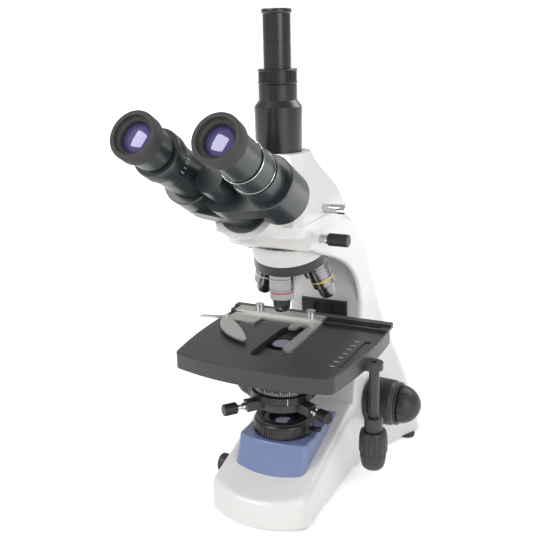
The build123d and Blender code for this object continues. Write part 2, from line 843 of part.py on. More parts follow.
with BuildPart() as stage_upper_plate:
    with BuildSketch(Plane.XY.offset(stage_bottom)):
        make_face(stage_outline(0))
        fillet(vertices(), stage_corner_radius)
    extrude(amount=stage_depth)
    fillet(faces().sort_by(Axis.Z)[-1].edges(), 1.2)
    with BuildSketch(Plane.XY.offset(stage_bottom)):
        make_face(stage_outline(stage_wall))
        fillet(vertices(), stage_corner_radius - stage_wall)
    extrude(amount=stage_depth - stage_skin, mode=Mode.SUBTRACT)
    with BuildSketch(Plane.XY.offset(stage_bottom)):
        with Locations((0, (stage_slot_front + stage_slot_back) / 2)):
            SlotOverall(stage_slot_back - stage_slot_front, 2 * stage_slot_half_width, rotation=90)
    extrude(amount=stage_depth, mode=Mode.SUBTRACT)
    for x in (-stage_rib_x, stage_rib_x):
        with BuildSketch(Plane.XY.offset(stage_top - stage_skin)):
            with Locations((x, 0)):
                Rectangle(2 * (stage_rib_half_width + slide_gap), stage_back - stage_front - 30)
        extrude(amount=stage_rib_height, mode=Mode.SUBTRACT)
    # the groove for the scale, the notch in the front skirt, the gap for the bracket and the drive lug
    with BuildSketch(Plane.XY.offset(stage_top - scale_depth)):
        with Locations(((scale_left + scale_right) / 2, (scale_front + scale_back) / 2)):
            Rectangle(scale_right - scale_left, scale_back - scale_front)
            fillet(vertices(), 2)
    extrude(amount=scale_depth, mode=Mode.SUBTRACT)
    with BuildSketch(Plane.XY.offset(stage_bottom)):
        with Locations((drive_x, 0)):
            Circle(drive_lug_radius)
        with Locations((drive_x - drive_lug_radius, 0)):
            Rectangle(2 * drive_lug_radius - 2, 2 * drive_lug_radius)
        with Locations((drive_x, 0)):
            Circle(drive_rod_radius, mode=Mode.SUBTRACT)
    extrude(amount=drive_lug_height)

with BuildPart() as stage_lower_plate:
    with BuildSketch(Plane.XY.offset(lower_plate_bottom)):
        with Locations((0, (lower_plate_front + lower_plate_back) / 2)):
            Rectangle(2 * lower_plate_half_width, lower_plate_back - lower_plate_front)
            fillet(vertices(), 4)
    extrude(amount=lower_plate_thickness)
    for x in (-stage_rib_x, stage_rib_x):
        with BuildSketch(Plane.XY.offset(lower_plate_top)):
            with Locations((x, 0)):
                Rectangle(2 * stage_rib_half_width, 2 * -lower_plate_front - 6)
        extrude(amount=stage_rib_height)
    with BuildSketch(Plane.XY.offset(lower_plate_bottom)):
        Circle(lower_plate_hole_radius)
    extrude(amount=lower_plate_thickness, mode=Mode.SUBTRACT)
    with BuildSketch(Plane.XY.offset(carriage_top)):
        with Locations((0, (bracket_front + carriage_back) / 2)):
            Rectangle(2 * carriage_half_width, carriage_back - bracket_front)
    extrude(amount=stage_bottom - slide_gap - carriage_top)
    with BuildSketch(Plane.XY.offset(carriage_top)):
        with Locations((0, (bracket_front + lower_plate_back - 2) / 2)):
            Rectangle(2 * carriage_half_width, lower_plate_back - 2 - bracket_front)
    extrude(amount=lower_plate_bottom - carriage_top)

with BuildPart() as stage_rail:
    with BuildSketch(Plane.XY.offset(stage_top)):
        with Locations(((rail_left + rail_right) / 2, (rail_front + rail_back) / 2)):
            Rectangle(rail_right - rail_left, rail_back - rail_front)
            fillet(vertices(), 2)
    extrude(amount=rail_height)
    with BuildSketch(Plane.XY.offset(stage_top + rail_shelf_height)):
        with Locations(((rail_left + rail_right) / 2, (rail_front + rail_step) / 2)):
            Rectangle(rail_right - rail_left, rail_step - rail_front)
    extrude(amount=rail_height, mode=Mode.SUBTRACT)
    with BuildSketch(Plane.XY.offset(stage_top)):
        with Locations(((rail_left + rail_right) / 2, rail_slot_y)):
            Rectangle(rail_right - rail_left - 16, 2 * (holder_post_radius + slide_gap))
    extrude(amount=rail_height, mode=Mode.SUBTRACT)

holder_bottom = stage_top + slide_gap
strip_bottom = stage_top + rail_shelf_height + slide_gap
with BuildPart() as slide_holder:
    with BuildSketch(Plane.XY.offset(holder_bottom)):
        with BuildLine():
            Polyline(
                (21, rail_front - slide_gap),
                (22.7, -31),
                (19, -32.5),
                (13, -28),
                (12, 6.6),
                (12.4, 38.8),
                (3.9, 37.6),
                (2.5, 27.6),
                (-5.5, 25.3),
                (-7.9, 43),
                (-44, 43),
                (-45, 27),
                (-54, 26),
                (-68.7, 27),
                (-70, rail_front - slide_gap),
                close=True,
            )
        make_face()
    extrude(amount=strip_bottom + holder_thickness - holder_bottom)
    with BuildSketch(Plane.XY.offset(holder_bottom + holder_thickness)):
        with Locations((0, -20)):
            Rectangle(200, 2 * (rail_front - 4 + 20))
    extrude(amount=10, mode=Mode.SUBTRACT)
    with BuildSketch(Plane.XY.offset(strip_bottom)):
        with Locations(((21 - 80) / 2, (rail_front - 4 + rail_step - slide_gap) / 2)):
            Rectangle(21 + 80, rail_step - slide_gap - rail_front + 4)
    extrude(amount=holder_thickness)
    for x in holder_screw_places:
        with BuildSketch(Plane.XY.offset(stage_top + 1)):
            with Locations((x, rail_slot_y)):
                Circle(holder_post_radius)
        extrude(amount=strip_bottom - stage_top)
    with BuildSketch(Plane.XY.offset(holder_bottom)):
        with Locations((finger_pivot[0] + 5, finger_pivot[1] + 13)):
            Rectangle(14, 26)
    extrude(amount=holder_thickness)
    with BuildSketch(Plane.XY.offset(holder_bottom)):
        with Locations(finger_pivot):
            Circle(4)
    extrude(amount=holder_thickness)
    with BuildSketch(Plane.XY.offset(holder_bottom)):
        with Locations(finger_pivot):
            Circle(finger_pin_radius)
    extrude(amount=holder_thickness + 5)

with BuildPart() as slide_finger:
    with BuildSketch(Plane.XY.offset(holder_bottom + holder_thickness + slide_gap)):
        with BuildLine():
            ThreePointArc((-81, 22), (-66, -5.5), (-28.7, -29))
            Line((-28.7, -29), (-27.5, -24.5))
            ThreePointArc((-27.5, -24.5), (-48, 2), (-73, 26))
            Line((-73, 26), (-81, 22))
        make_face()
        with Locations(finger_pivot):
            Circle(finger_boss_radius)
        with BuildLine():
            Polyline((-80, 30), (-106, 22.5), (-106, 18.5), (-80, 25), close=True)
        make_face()
        with Locations(finger_pivot):
            Circle(finger_pin_radius + shaft_clearance, mode=Mode.SUBTRACT)
    extrude(amount=finger_thickness)

with BuildPart() as holder_thumbscrews:
    for x in holder_screw_places:
        with BuildSketch(Plane.XY.offset(strip_bottom + holder_thickness)):
            with Locations((x, rail_slot_y)):
                Circle(holder_screw_radius)
        extrude(amount=6)

# Stage drive: the hanging tube with the fluted knob for Y and the lower knob for X
with BuildPart() as stage_drive_rod:
    with BuildSketch(Plane.XY.offset(y_knob_bottom)):
        with Locations((drive_x, 0)):
            Circle(drive_rod_radius)
            Circle(drive_shaft_radius + shaft_clearance, mode=Mode.SUBTRACT)
    extrude(amount=stage_bottom + drive_lug_height - y_knob_bottom)
    with BuildSketch(Plane.XY.offset(y_knob_top + slide_gap)):
        with Locations((drive_x, 0)):
            Circle(drive_collar_radius)
            Circle(drive_shaft_radius + shaft_clearance, mode=Mode.SUBTRACT)
    extrude(amount=drive_collar_height)

with BuildPart() as stage_y_knob:
    with BuildSketch(Plane.XY.offset(y_knob_bottom)):
        with Locations((drive_x, 0)):
            Circle(drive_knob_radius)
            Circle(drive_rod_radius + shaft_clearance, mode=Mode.SUBTRACT)
    extrude(amount=y_knob_top - y_knob_bottom)
    chamfer(edges().filter_by(GeomType.CIRCLE).group_by(SortBy.RADIUS)[-1], 1)

with BuildPart() as stage_x_knob:
    with BuildSketch(Plane.XY.offset(drive_bottom)):
        with Locations((drive_x, 0)):
            Circle(drive_knob_radius - 1)
    extrude(amount=y_knob_bottom - slide_gap - drive_bottom)
    fillet(faces().sort_by(Axis.Z)[0].edges(), 5)
    with BuildSketch(Plane.XY.offset(y_knob_bottom - slide_gap)):
        with Locations((drive_x, 0)):
            Circle(drive_shaft_radius)
    extrude(amount=60)

# Condenser: the carrier with its slide, the centred body, its lenses, the iris ring and the screws
carrier_top = iris_ring_bottom - slide_gap
with BuildPart() as condenser_bracket:
    with BuildSketch(Plane.XY.offset(condenser_bottom + 1)):
        Circle(carrier_radius)
        with Locations((0, (carrier_back + carriage_front) / 2 - 8)):
            Rectangle(2 * carrier_arm_half_width, carriage_front - carrier_back)
        for angle in screw_angles.values():
            with Locations(Rot(0, 0, angle) * Pos((carrier_radius + screw_block_end) / 2 - 2, 0)):
                Rectangle(screw_block_end - carrier_radius + 4, 11)
        Circle(carrier_bore, mode=Mode.SUBTRACT)
    extrude(amount=carrier_top - condenser_bottom - 1)
    with BuildSketch(Plane.XY.offset(carriage_bottom + 8)):
        with Locations((0, (carrier_slide_front + carriage_front - slide_gap) / 2)):
            Rectangle(2 * carrier_arm_half_width, carriage_front - slide_gap - carrier_slide_front)
        with Locations((0, carriage_front)):
            Rectangle(2 * condenser_tongue_half_width, 7)
    extrude(amount=carriage_top - carriage_bottom - 10)
    with BuildSketch(Plane.XY.offset(condenser_bottom + 1)):
        with Locations((0, (carrier_slide_front + carriage_front - slide_gap) / 2)):
            Rectangle(2 * carrier_arm_half_width, carriage_front - slide_gap - carrier_slide_front)
    extrude(amount=20)
    for angle in screw_angles.values():
        with BuildSketch(Plane(origin=(0, 0, screw_height), z_dir=(cos(radians(angle)), sin(radians(angle)), 0))):
            Circle(screw_neck_radius + shaft_clearance)
        extrude(amount=70, mode=Mode.SUBTRACT)

with BuildPart() as condenser_body:
    with BuildSketch(Plane.XZ):
        with BuildLine():
            Polyline(
                (0, condenser_bottom),
                (condenser_barrel_radius, condenser_bottom),
                (condenser_barrel_radius, carrier_top),
                (iris_seat_radius, carrier_top),
                (iris_seat_radius, iris_ring_bottom + iris_ring_height + slide_gap),
                (scale_ring_radius, iris_ring_bottom + iris_ring_height + slide_gap),
                (scale_ring_radius, scale_ring_top),
                (17, scale_ring_top + 8),
                (condenser_neck_radius, condenser_top - 14),
                (condenser_neck_radius, condenser_top - 5),
                (condenser_lens_radius + 1, condenser_top - 4.5),
                (condenser_lens_radius + 1, condenser_top),
                (0, condenser_top),
                close=True,
            )
        make_face()
    revolve(axis=Axis.Z)
    with BuildSketch(Plane.XY.offset(condenser_top - 3)):
        Circle(condenser_lens_radius)
    extrude(amount=3, mode=Mode.SUBTRACT)
    with BuildSketch(Plane.XY.offset(condenser_bottom)):
        Circle(field_side_lens_radius)
    extrude(amount=3, mode=Mode.SUBTRACT)
    with BuildSketch(Plane.XY.offset(condenser_bottom)):
        Circle(condenser_lens_radius - 4)
    extrude(amount=condenser_top, mode=Mode.SUBTRACT)

with BuildPart() as condenser_lens:
    with BuildSketch(Plane.XY.offset(condenser_top - 3)):
        Circle(condenser_lens_radius)
    extrude(amount=3)
    with BuildSketch(Plane.XY.offset(condenser_bottom)):
        Circle(field_side_lens_radius)
    extrude(amount=3)

with BuildPart() as iris_ring:
    with BuildSketch(Plane.XY.offset(iris_ring_bottom)):
        Circle(iris_ring_radius)
        Circle(iris_seat_radius + shaft_clearance, mode=Mode.SUBTRACT)
    extrude(amount=iris_ring_height)


def centring_screw(angle):
    """A centring screw: the thin chrome neck in the carrier and the knurled grip outside it."""
    with BuildPart() as screw:
        direction = (cos(radians(angle)), sin(radians(angle)), 0)
        with BuildSketch(Plane(origin=(0, 0, screw_height), z_dir=direction).offset(screw_inner_end)):
            Circle(screw_neck_radius)
        extrude(amount=screw_grip_start - screw_inner_end)
        with BuildSketch(Plane(origin=(0, 0, screw_height), z_dir=direction).offset(screw_grip_start)):
            Circle(screw_grip_radius)
        extrude(amount=screw_grip_length)
    return screw.part


centring_screws = {side: centring_screw(angle) for side, angle in screw_angles.items()}

with BuildPart() as condenser_knob:
    with BuildSketch(Plane.YZ.offset(-condenser_knob_inner)):
        with Locations((condenser_knob_y, condenser_knob_height)):
            Circle(dial_shaft_radius)
    extrude(amount=-(condenser_knob_end - condenser_knob_inner))
    with BuildSketch(Plane.YZ.offset(-condenser_knob_end)):
        with Locations((condenser_knob_y, condenser_knob_height)):
            Circle(condenser_knob_radius)
    extrude(amount=condenser_knob_width)
    chamfer(faces().sort_by(Axis.X)[0].edges(), 1)

# Head: the body on its swivel seat, the clamp and the beam splitter rod
head_sections = (
    (arm_top + head_plate_height, 44, head_plate_front, head_back - 2, 16),
    (318, 40, -52, 57, 20),
    (338, 34, -40, 36, 22),
    (head_top, 28.5, -28.5, 27, 24),
)
bino_angle = radians(head_tilt)
bino_plane = Plane(
    origin=(
        0,
        eye_relief_y - hinge_drop * sin(bino_angle),
        eye_relief_z - hinge_drop * cos(bino_angle),
    ),
    x_dir=(1, 0, 0),
    z_dir=(0, cos(bino_angle), -sin(bino_angle)),
)
with BuildPart() as head_body:
    for height, half, front, rear, corner in head_sections:
        with BuildSketch(Plane.XY.offset(height)):
            with Locations((0, (front + rear) / 2)):
                RectangleRounded(2 * half, rear - front, corner)
    loft()
    with BuildSketch(Plane.XY.offset(arm_top + slide_gap)):
        with BuildLine():
            ThreePointArc(
                (-head_half_width, head_plate_shoulder),
                (0, head_plate_front),
                (head_half_width, head_plate_shoulder),
            )
            Line((head_half_width, head_plate_shoulder), (head_half_width, head_back))
            Line((head_half_width, head_back), (-head_half_width, head_back))
            Line((-head_half_width, head_back), (-head_half_width, head_plate_shoulder))
        make_face()
        fillet(vertices().group_by(Axis.Y)[-1], 16)
        fillet(vertices().group_by(Axis.Y)[0], 10)
    extrude(amount=head_plate_height - slide_gap)
    split(bisect_by=bino_plane.offset(head_face), keep=Keep.TOP)
    with BuildSketch(bino_plane.offset(boss_face)):
        Circle(boss_radius)
    extrude(amount=head_face - boss_face + 20)
    split(bisect_by=Plane.XY.offset(arm_top + slide_gap), keep=Keep.TOP)
    with BuildSketch(Plane.XY.offset(arm_top - seat_depth)):
        Circle(seat_radius)
    extrude(amount=seat_depth + 1)
    with BuildSketch(Plane.XY.offset(clamp_height - clamp_screw_radius - 1)):
        Circle(seat_radius)
        Circle(seat_radius - 1, mode=Mode.SUBTRACT)
    extrude(amount=2 * clamp_screw_radius + 2, mode=Mode.SUBTRACT)
    with BuildSketch(Plane.XY.offset(arm_top - seat_depth)):
        Circle(light_bore_radius)
    extrude(amount=head_top - arm_top + seat_depth, mode=Mode.SUBTRACT)
    with BuildSketch(Plane.YZ):
        with Locations((splitter_y, splitter_height)):
            Circle(splitter_radius + shaft_clearance)
    extrude(amount=head_half_width + 1, mode=Mode.SUBTRACT)
    with BuildSketch(bino_plane.offset(boss_face)):
        Circle(hinge_shaft_radius)
    extrude(amount=hinge_socket_depth, mode=Mode.SUBTRACT)

with BuildPart() as head_clamp_screw:
    with BuildSketch(Plane.YZ.offset(seat_radius - 1 + shaft_clearance)):
        with Locations((0, clamp_height)):
            Circle(clamp_screw_radius)
    extrude(amount=clamp_grip_start - seat_radius + 1)
    with BuildSketch(Plane.YZ.offset(arm_half_width + slide_gap)):
        with Locations((0, clamp_height)):
            Circle(clamp_screw_radius + 1.5)
    extrude(amount=clamp_grip_start - arm_half_width)
    with BuildSketch(Plane.YZ.offset(clamp_grip_start)):
        with Locations((0, clamp_height)):
            Circle(clamp_grip_radius)
    extrude(amount=clamp_grip_length)
    chamfer(faces().sort_by(Axis.X)[-1].edges(), 0.8)

with BuildPart() as beam_splitter_rod:
    with BuildSketch(Plane.YZ.offset(light_bore_radius + splitter_travel + 3)):
        with Locations((splitter_y, splitter_height)):
            Circle(splitter_radius)
    extrude(amount=splitter_end - light_bore_radius - splitter_travel - 3)
    fillet(faces().sort_by(Axis.X)[-1].edges(), 1.5)

# Binocular: the hinge, the two prism housings, the tubes, the dioptre ring and the eyepieces
with BuildPart() as hinge_hub:
    with BuildSketch(bino_plane.offset(hub_front)):
        Circle(hinge_shaft_radius)
    extrude(amount=boss_face + hinge_socket_depth - hub_front)
    with BuildSketch(bino_plane.offset(housing_back + slide_gap)):
        Circle(drum_radius)
    extrude(amount=boss_face - housing_back - slide_gap)
    with BuildSketch(bino_plane.offset(hub_front)):
        Circle(hub_radius)
    extrude(amount=housing_front - slide_gap - hub_front)


def tube_place(side):
    """Where a tube's axis stands in the plane across the hinge."""
    return side * half_pupil_distance, -hinge_drop


def prism_housing(side, lug_start, lug_end, other_start, other_end):
    """A housing: its barrel round the tube, its hinge lug, and room for the other lug."""
    centre = Vector(*tube_place(side))
    reach = centre.length
    spread = atan2(-centre.Y, side * centre.X)
    tangent = spread - radians(90) - asin((barrel_radius - lug_radius) / reach)
    edge = Vector(side * cos(tangent), -sin(tangent))
    with BuildPart() as housing:
        with BuildSketch(bino_plane.offset(housing_front)):
            with Locations(tube_place(side)):
                Circle(barrel_radius)
        extrude(amount=housing_back - housing_front)
        chamfer(edges().filter_by(GeomType.CIRCLE), 1)
        with BuildSketch(bino_plane.offset(other_start)):
            Circle(lug_radius + slide_gap)
        extrude(amount=other_end - other_start, mode=Mode.SUBTRACT)
        with BuildSketch(bino_plane.offset(lug_start)):
            Circle(lug_radius)
            with BuildLine():
                Polyline(
                    (0, 0),
                    (centre.X, centre.Y),
                    (centre.X + barrel_radius * edge.X, centre.Y + barrel_radius * edge.Y),
                    (lug_radius * edge.X, lug_radius * edge.Y),
                    close=True,
                )
            make_face()
        extrude(amount=lug_end - lug_start)
        with BuildSketch(bino_plane.offset(housing_front - 1)):
            Circle(hinge_shaft_radius + shaft_clearance)
        extrude(amount=housing_back - housing_front + 2, mode=Mode.SUBTRACT)
        with BuildSketch(bino_plane.offset(housing_front)):
            with Locations(tube_place(side)):
                Circle(eyepiece_sleeve_radius)
        extrude(amount=housing_back - housing_front - 6, mode=Mode.SUBTRACT)
    return housing.part


prism_housing_right = prism_housing(
    1, housing_front, housing_split - slide_gap / 2, housing_split - slide_gap / 2, housing_back
)
prism_housing_left = prism_housing(
    -1, housing_split + slide_gap / 2, housing_back, housing_front, housing_split + slide_gap / 2
)


def ring_on_tube(side, start, end, outer, inner):
    """A plain ring round one of the two eyepiece axes."""
    with BuildPart() as ring:
        with BuildSketch(bino_plane.offset(start)):
            with Locations(tube_place(side)):
                Circle(outer)
                Circle(inner, mode=Mode.SUBTRACT)
        extrude(amount=end - start)
    return ring.part


tube_bore = eyepiece_sleeve_radius + shaft_clearance
eyepiece_tube_right = ring_on_tube(1, tube_front, housing_front, tube_radius, tube_bore) + ring_on_tube(
    1, tube_band_start, tube_band_end, tube_band_radius, tube_bore
)
eyepiece_tube_left = ring_on_tube(-1, dioptre_end + slide_gap, housing_front, tube_radius, tube_bore)
dioptre_ring = ring_on_tube(-1, dioptre_start, dioptre_end, dioptre_radius, tube_bore)


def eyepiece(side, barrel_end):
    """An eyepiece: the wide barrel with a seat for the eye lens, and the sleeve in the tube."""
    with BuildPart() as piece:
        with BuildSketch(bino_plane.offset(eyecup_overlap)):
            with Locations(tube_place(side)):
                Circle(eyepiece_radius)
        extrude(amount=barrel_end - eyecup_overlap)
        with BuildSketch(bino_plane.offset(barrel_end)):
            with Locations(tube_place(side)):
                Circle(eyepiece_sleeve_radius)
        extrude(amount=eyepiece_sleeve_end - barrel_end)
        with BuildSketch(bino_plane.offset(eyecup_overlap)):
            with Locations(tube_place(side)):
                Circle(eye_lens_radius)
        extrude(amount=eye_lens_depth, mode=Mode.SUBTRACT)
        with BuildSketch(bino_plane.offset(eyecup_overlap)):
            with Locations(tube_place(side)):
                Circle(eyepiece_sleeve_radius - 2)
        extrude(amount=80, mode=Mode.SUBTRACT)
    return piece.part


def eyecup(side):
    """An eyecup: a rubber ring that slips over the eyepiece and funnels down to the eye lens."""
    with BuildPart() as cup:
        with BuildSketch(bino_plane):
            with Locations(tube_place(side)):
                Circle(eyecup_radius)
        extrude(amount=eyecup_length)
        with BuildSketch(bino_plane.offset(eyecup_overlap)):
            with Locations(tube_place(side)):
                Circle(eyepiece_radius)
        extrude(amount=eyecup_length - eyecup_overlap, mode=Mode.SUBTRACT)
        with BuildSketch(bino_plane):
            with Locations(tube_place(side)):
                Circle(eyecup_mouth_radius)
        with BuildSketch(bino_plane.offset(eyecup_overlap)):
            with Locations(tube_place(side)):
                Circle(eye_lens_radius)
        loft(mode=Mode.SUBTRACT)
    return cup.part


def eye_lens(side):
    """An eye lens: a disc with a slightly domed face toward the eye."""
    with BuildPart() as lens:
        with BuildSketch(bino_plane.offset(eyecup_overlap)):
            with Locations(tube_place(side)):
                Circle(eye_lens_radius)
        extrude(amount=eye_lens_depth)
        with BuildSketch(bino_plane.offset(eyecup_overlap)):
            with Locations(tube_place(side)):
                Circle(eye_lens_radius)
        with BuildSketch(bino_plane.offset(eyecup_overlap - 1.5)):
            with Locations(tube_place(side)):
                Circle(eye_lens_radius - 4)
        loft()
    return lens.part


eyepiece_right = eyepiece(1, tube_front - slide_gap)
eyepiece_left = eyepiece(-1, dioptre_start - dioptre_travel - slide_gap)

# Photo tube: the fixed base, the clamp ring and the sliding sleeve with its flange
with BuildPart() as photo_tube_base:
    with BuildSketch(Plane.XZ):
        with BuildLine():
            Polyline(
                (0, head_top),
                (photo_base_radius, head_top),
                (photo_base_radius, photo_base_top),
                (photo_neck_radius, photo_base_top + 6),
                (photo_neck_radius, photo_neck_top),
                (0, photo_neck_top),
                close=True,
            )
        make_face()
    revolve(axis=Axis.Z)
    with BuildSketch(Plane.XY.offset(photo_sleeve_bottom - photo_sleeve_step)):
        Circle(photo_sleeve_radius + shaft_clearance)
    extrude(amount=100, mode=Mode.SUBTRACT)
    with BuildSketch(Plane.XY.offset(head_top)):
        Circle(photo_port_radius - 1)
    extrude(amount=40, mode=Mode.SUBTRACT)

with BuildPart() as photo_clamp_ring:
    with BuildSketch(Plane.XY.offset(photo_neck_top + slide_gap)):
        Circle(clamp_ring_radius)
        Circle(photo_sleeve_radius + shaft_clearance, mode=Mode.SUBTRACT)
    extrude(amount=clamp_ring_top - photo_neck_top - slide_gap)
    chamfer(edges().filter_by(GeomType.CIRCLE).group_by(SortBy.RADIUS)[-1], 1)

with BuildPart() as photo_sleeve:
    with BuildSketch(Plane.XY.offset(photo_sleeve_bottom)):
        Circle(photo_sleeve_radius)
    extrude(amount=photo_top - photo_sleeve_bottom)
    with BuildSketch(Plane.XY.offset(photo_top - photo_flange_height)):
        Circle(photo_flange_radius)
    extrude(amount=photo_flange_height)
    with BuildSketch(Plane.XY.offset(photo_sleeve_bottom)):
        Circle(photo_port_radius)
    extrude(amount=photo_top - photo_sleeve_bottom, mode=Mode.SUBTRACT)

assembly = {
    "stand_casting": stand_casting.part,
    "base_plate": base_plate.part,
    "rubber_feet": rubber_feet.part,
    "lamp_cover": lamp_cover.part,
    "field_lens_mount": field_lens_mount.part,
    "field_lens": field_lens.part,
    "field_diaphragm_ring": field_diaphragm_ring.part,
    "led_lamp": led_lamp.part,
    "brightness_knob": brightness_knob.part,
    "power_inlet": power_inlet.part,
    "power_switch": power_switch.part,
    "coarse_sleeve": coarse_sleeve.part,
    "fine_shaft": fine_shaft.part,
    "coarse_knob_right": coarse_knob_right,
    "coarse_knob_left": coarse_knob_left,
    "fine_knob_right": fine_knob_right,
    "fine_knob_left": fine_knob_left,
    "tension_ring": tension_ring.part,
    "focus_guide": focus_guide.part,
    "focus_carriage": focus_carriage.part,
    "nosepiece_base": nosepiece_dome.part,
    "turret_ring": turret_ring.part,
    "stage_upper_plate": stage_upper_plate.part,
    "stage_lower_plate": stage_lower_plate.part,
    "stage_rail": stage_rail.part,
    "slide_holder": slide_holder.part,
    "slide_finger": slide_finger.part,
    "holder_thumbscrews": holder_thumbscrews.part,
    "stage_drive_rod": stage_drive_rod.part,
    "stage_y_knob": stage_y_knob.part,
    "stage_x_knob": stage_x_knob.part,
    "condenser_bracket": condenser_bracket.part,
    "condenser_body": condenser_body.part,
    "condenser_lens": condenser_lens.part,
    "iris_ring": iris_ring.part,
    "centring_screw_left": centring_screws["left"],
    "centring_screw_right": centring_screws["right"],
    "condenser_knob": condenser_knob.part,
    "head_body": head_body.part,
    "head_clamp_screw": head_clamp_screw.part,
    "beam_splitter_rod": beam_splitter_rod.part,
    "hinge_hub": hinge_hub.part,
    "prism_housing_right": prism_housing_right,
    "prism_housing_left": prism_housing_left,
    "eyepiece_tube_right": eyepiece_tube_right,
    "eyepiece_tube_left": eyepiece_tube_left,
    "dioptre_ring": dioptre_ring,
    "eyepiece_right": eyepiece_right,
    "eyepiece_left": eyepiece_left,
    "eyecup_right": eyecup(1),
    "eyecup_left": eyecup(-1),
    "eye_lens_right": eye_lens(1),
    "eye_lens_left": eye_lens(-1),
    "photo_tube_base": photo_tube_base.part,
    "photo_clamp_ring": photo_clamp_ring.part,
    "photo_sleeve": photo_sleeve.part,
}
assembly.update(objectives)
for name, shape in assembly.items():
    shape.label = name
    export_step(shape, f"parts/{name}.step")
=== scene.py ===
import bpy
from math import atan2, cos, pi, radians, sin
from mathutils import Matrix, Vector


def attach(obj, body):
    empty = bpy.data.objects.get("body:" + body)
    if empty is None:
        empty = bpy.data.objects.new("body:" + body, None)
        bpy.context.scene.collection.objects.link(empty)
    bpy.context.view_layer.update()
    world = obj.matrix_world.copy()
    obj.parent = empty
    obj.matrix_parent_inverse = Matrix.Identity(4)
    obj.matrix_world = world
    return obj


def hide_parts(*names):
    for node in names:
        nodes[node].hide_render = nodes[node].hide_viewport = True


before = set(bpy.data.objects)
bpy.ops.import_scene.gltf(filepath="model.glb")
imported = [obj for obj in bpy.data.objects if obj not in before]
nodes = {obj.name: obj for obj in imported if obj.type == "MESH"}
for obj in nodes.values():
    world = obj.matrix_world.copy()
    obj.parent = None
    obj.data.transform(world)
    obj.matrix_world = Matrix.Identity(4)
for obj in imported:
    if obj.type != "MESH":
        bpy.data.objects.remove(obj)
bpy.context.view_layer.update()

# The studio: a white sweep under and behind the instrument, three soft lamps and the camera
# of the photograph, a short telephoto that looks down at the front right corner.
# The sweep shows plain white to the camera and to mirrors, and keeps the soft contact shadow.


class Wire:
    """A shader socket that can be used in Python sums and products."""

    def __init__(self, maker, socket):
        self.maker, self.socket = maker, socket

    def join(self, operation, other):
        return self.maker.node("ShaderNodeMath", {"operation": operation}, {0: self, 1: other})

    def __add__(self, other): return self.join("ADD", other)
    def __mul__(self, other): return self.join("MULTIPLY", other)
    def __radd__(self, other): return self + other
    def __rmul__(self, other): return self * other
    def clamped(self): return self.maker.node("ShaderNodeClamp", {}, {"Value": self})


class Finish:
    """A material, the one method that adds a node to it, and the few nodes that most finishes share."""

    def __init__(self, name):
        self.material = bpy.data.materials.new(name)
        self.material.use_nodes = True
        self.tree = self.material.node_tree
        self.shader = self.tree.nodes["Principled BSDF"]
        self.place = self.node("ShaderNodeTexCoord", {}, {}, "Object")

    def node(self, kind, settings, values, output=0):
        made = self.tree.nodes.new(kind)
        for key, value in settings.items():
            setattr(made, key, value)
        for key, value in values.items():
            self.feed(made.inputs[key], value)
        return Wire(self, made.outputs[output])

    def feed(self, socket, value):
        if isinstance(value, Wire):
            self.tree.links.new(value.socket, socket)
        elif isinstance(value, tuple) and len(value) == 3 and socket.type == "RGBA":
            socket.default_value = (*value, 1)
        else:
            socket.default_value = value

    def set(self, **values):
        for key, value in values.items():
            self.feed(self.shader.inputs[key.replace("_", " ")], value)

    def noise(self, scale, detail=3.0, stretch=None):
        place = self.place
        if stretch:
            place = self.node("ShaderNodeMapping", {}, {"Vector": place, "Scale": stretch})
        values = {"Vector": place, "Scale": scale, "Detail": detail, "Roughness": 0.55}
        return self.node("ShaderNodeTexNoise", {}, values)

    def mix(self, share, first, second):
        return self.node("ShaderNodeMix", {"data_type": "RGBA"}, {0: share, 6: first, 7: second}, 2)

    def bump(self, height, strength, distance):
        return self.node("ShaderNodeBump", {}, {"Height": height, "Strength": strength, "Distance": distance})

    def on(self, *names):
        """Gives this finish to CAD nodes that keep their own shape."""
        for name in names:
            mesh = nodes[name].data
            mesh.materials.clear()
            mesh.materials.append(self.material)
            mesh.polygons.foreach_set("material_index", [0] * len(mesh.polygons))


paper_white = (0.93, 0.93, 0.93)
glow_near, glow_far = 0.38, 1.0
glow_starts, glow_full = 0.5, 1.6
sweep = Finish("studio sweep")
light_path = sweep.node("ShaderNodeLightPath", {}, {})
seen = light_path + Wire(sweep, light_path.socket.node.outputs["Is Glossy Ray"])
distance = sweep.node("ShaderNodeVectorMath", {"operation": "LENGTH"}, {0: sweep.place}, 1)
far = sweep.node("ShaderNodeMapRange", {}, {"Value": distance, "From Min": glow_starts, "From Max": glow_full})
sweep.set(
    Base_Color=paper_white,
    Roughness=0.9,
    Emission_Color=seen.clamped() * (far * (glow_far - glow_near) + glow_near),
    Emission_Strength=1.0,
)
bpy.ops.object.select_all(action="DESELECT")
bpy.ops.mesh.primitive_plane_add(size=8.0, location=(0, 0, 0))
floor = bpy.context.object
floor.name = "studio_floor"
floor.data.materials.append(sweep.material)

air_light, air_seen = 0.55, 1.0
world = bpy.data.worlds.new("studio air")
world.use_nodes = True
bpy.context.scene.world = world
air = world.node_tree.nodes["Background"]
air.inputs["Color"].default_value = (1.0, 1.0, 1.0, 1)
ray = world.node_tree.nodes.new("ShaderNodeLightPath")
brighter = world.node_tree.nodes.new("ShaderNodeMapRange")
brighter.inputs["To Min"].default_value = air_light
brighter.inputs["To Max"].default_value = air_seen
world.node_tree.links.new(ray.outputs["Is Camera Ray"], brighter.inputs["Value"])
world.node_tree.links.new(brighter.outputs["Result"], air.inputs["Strength"])

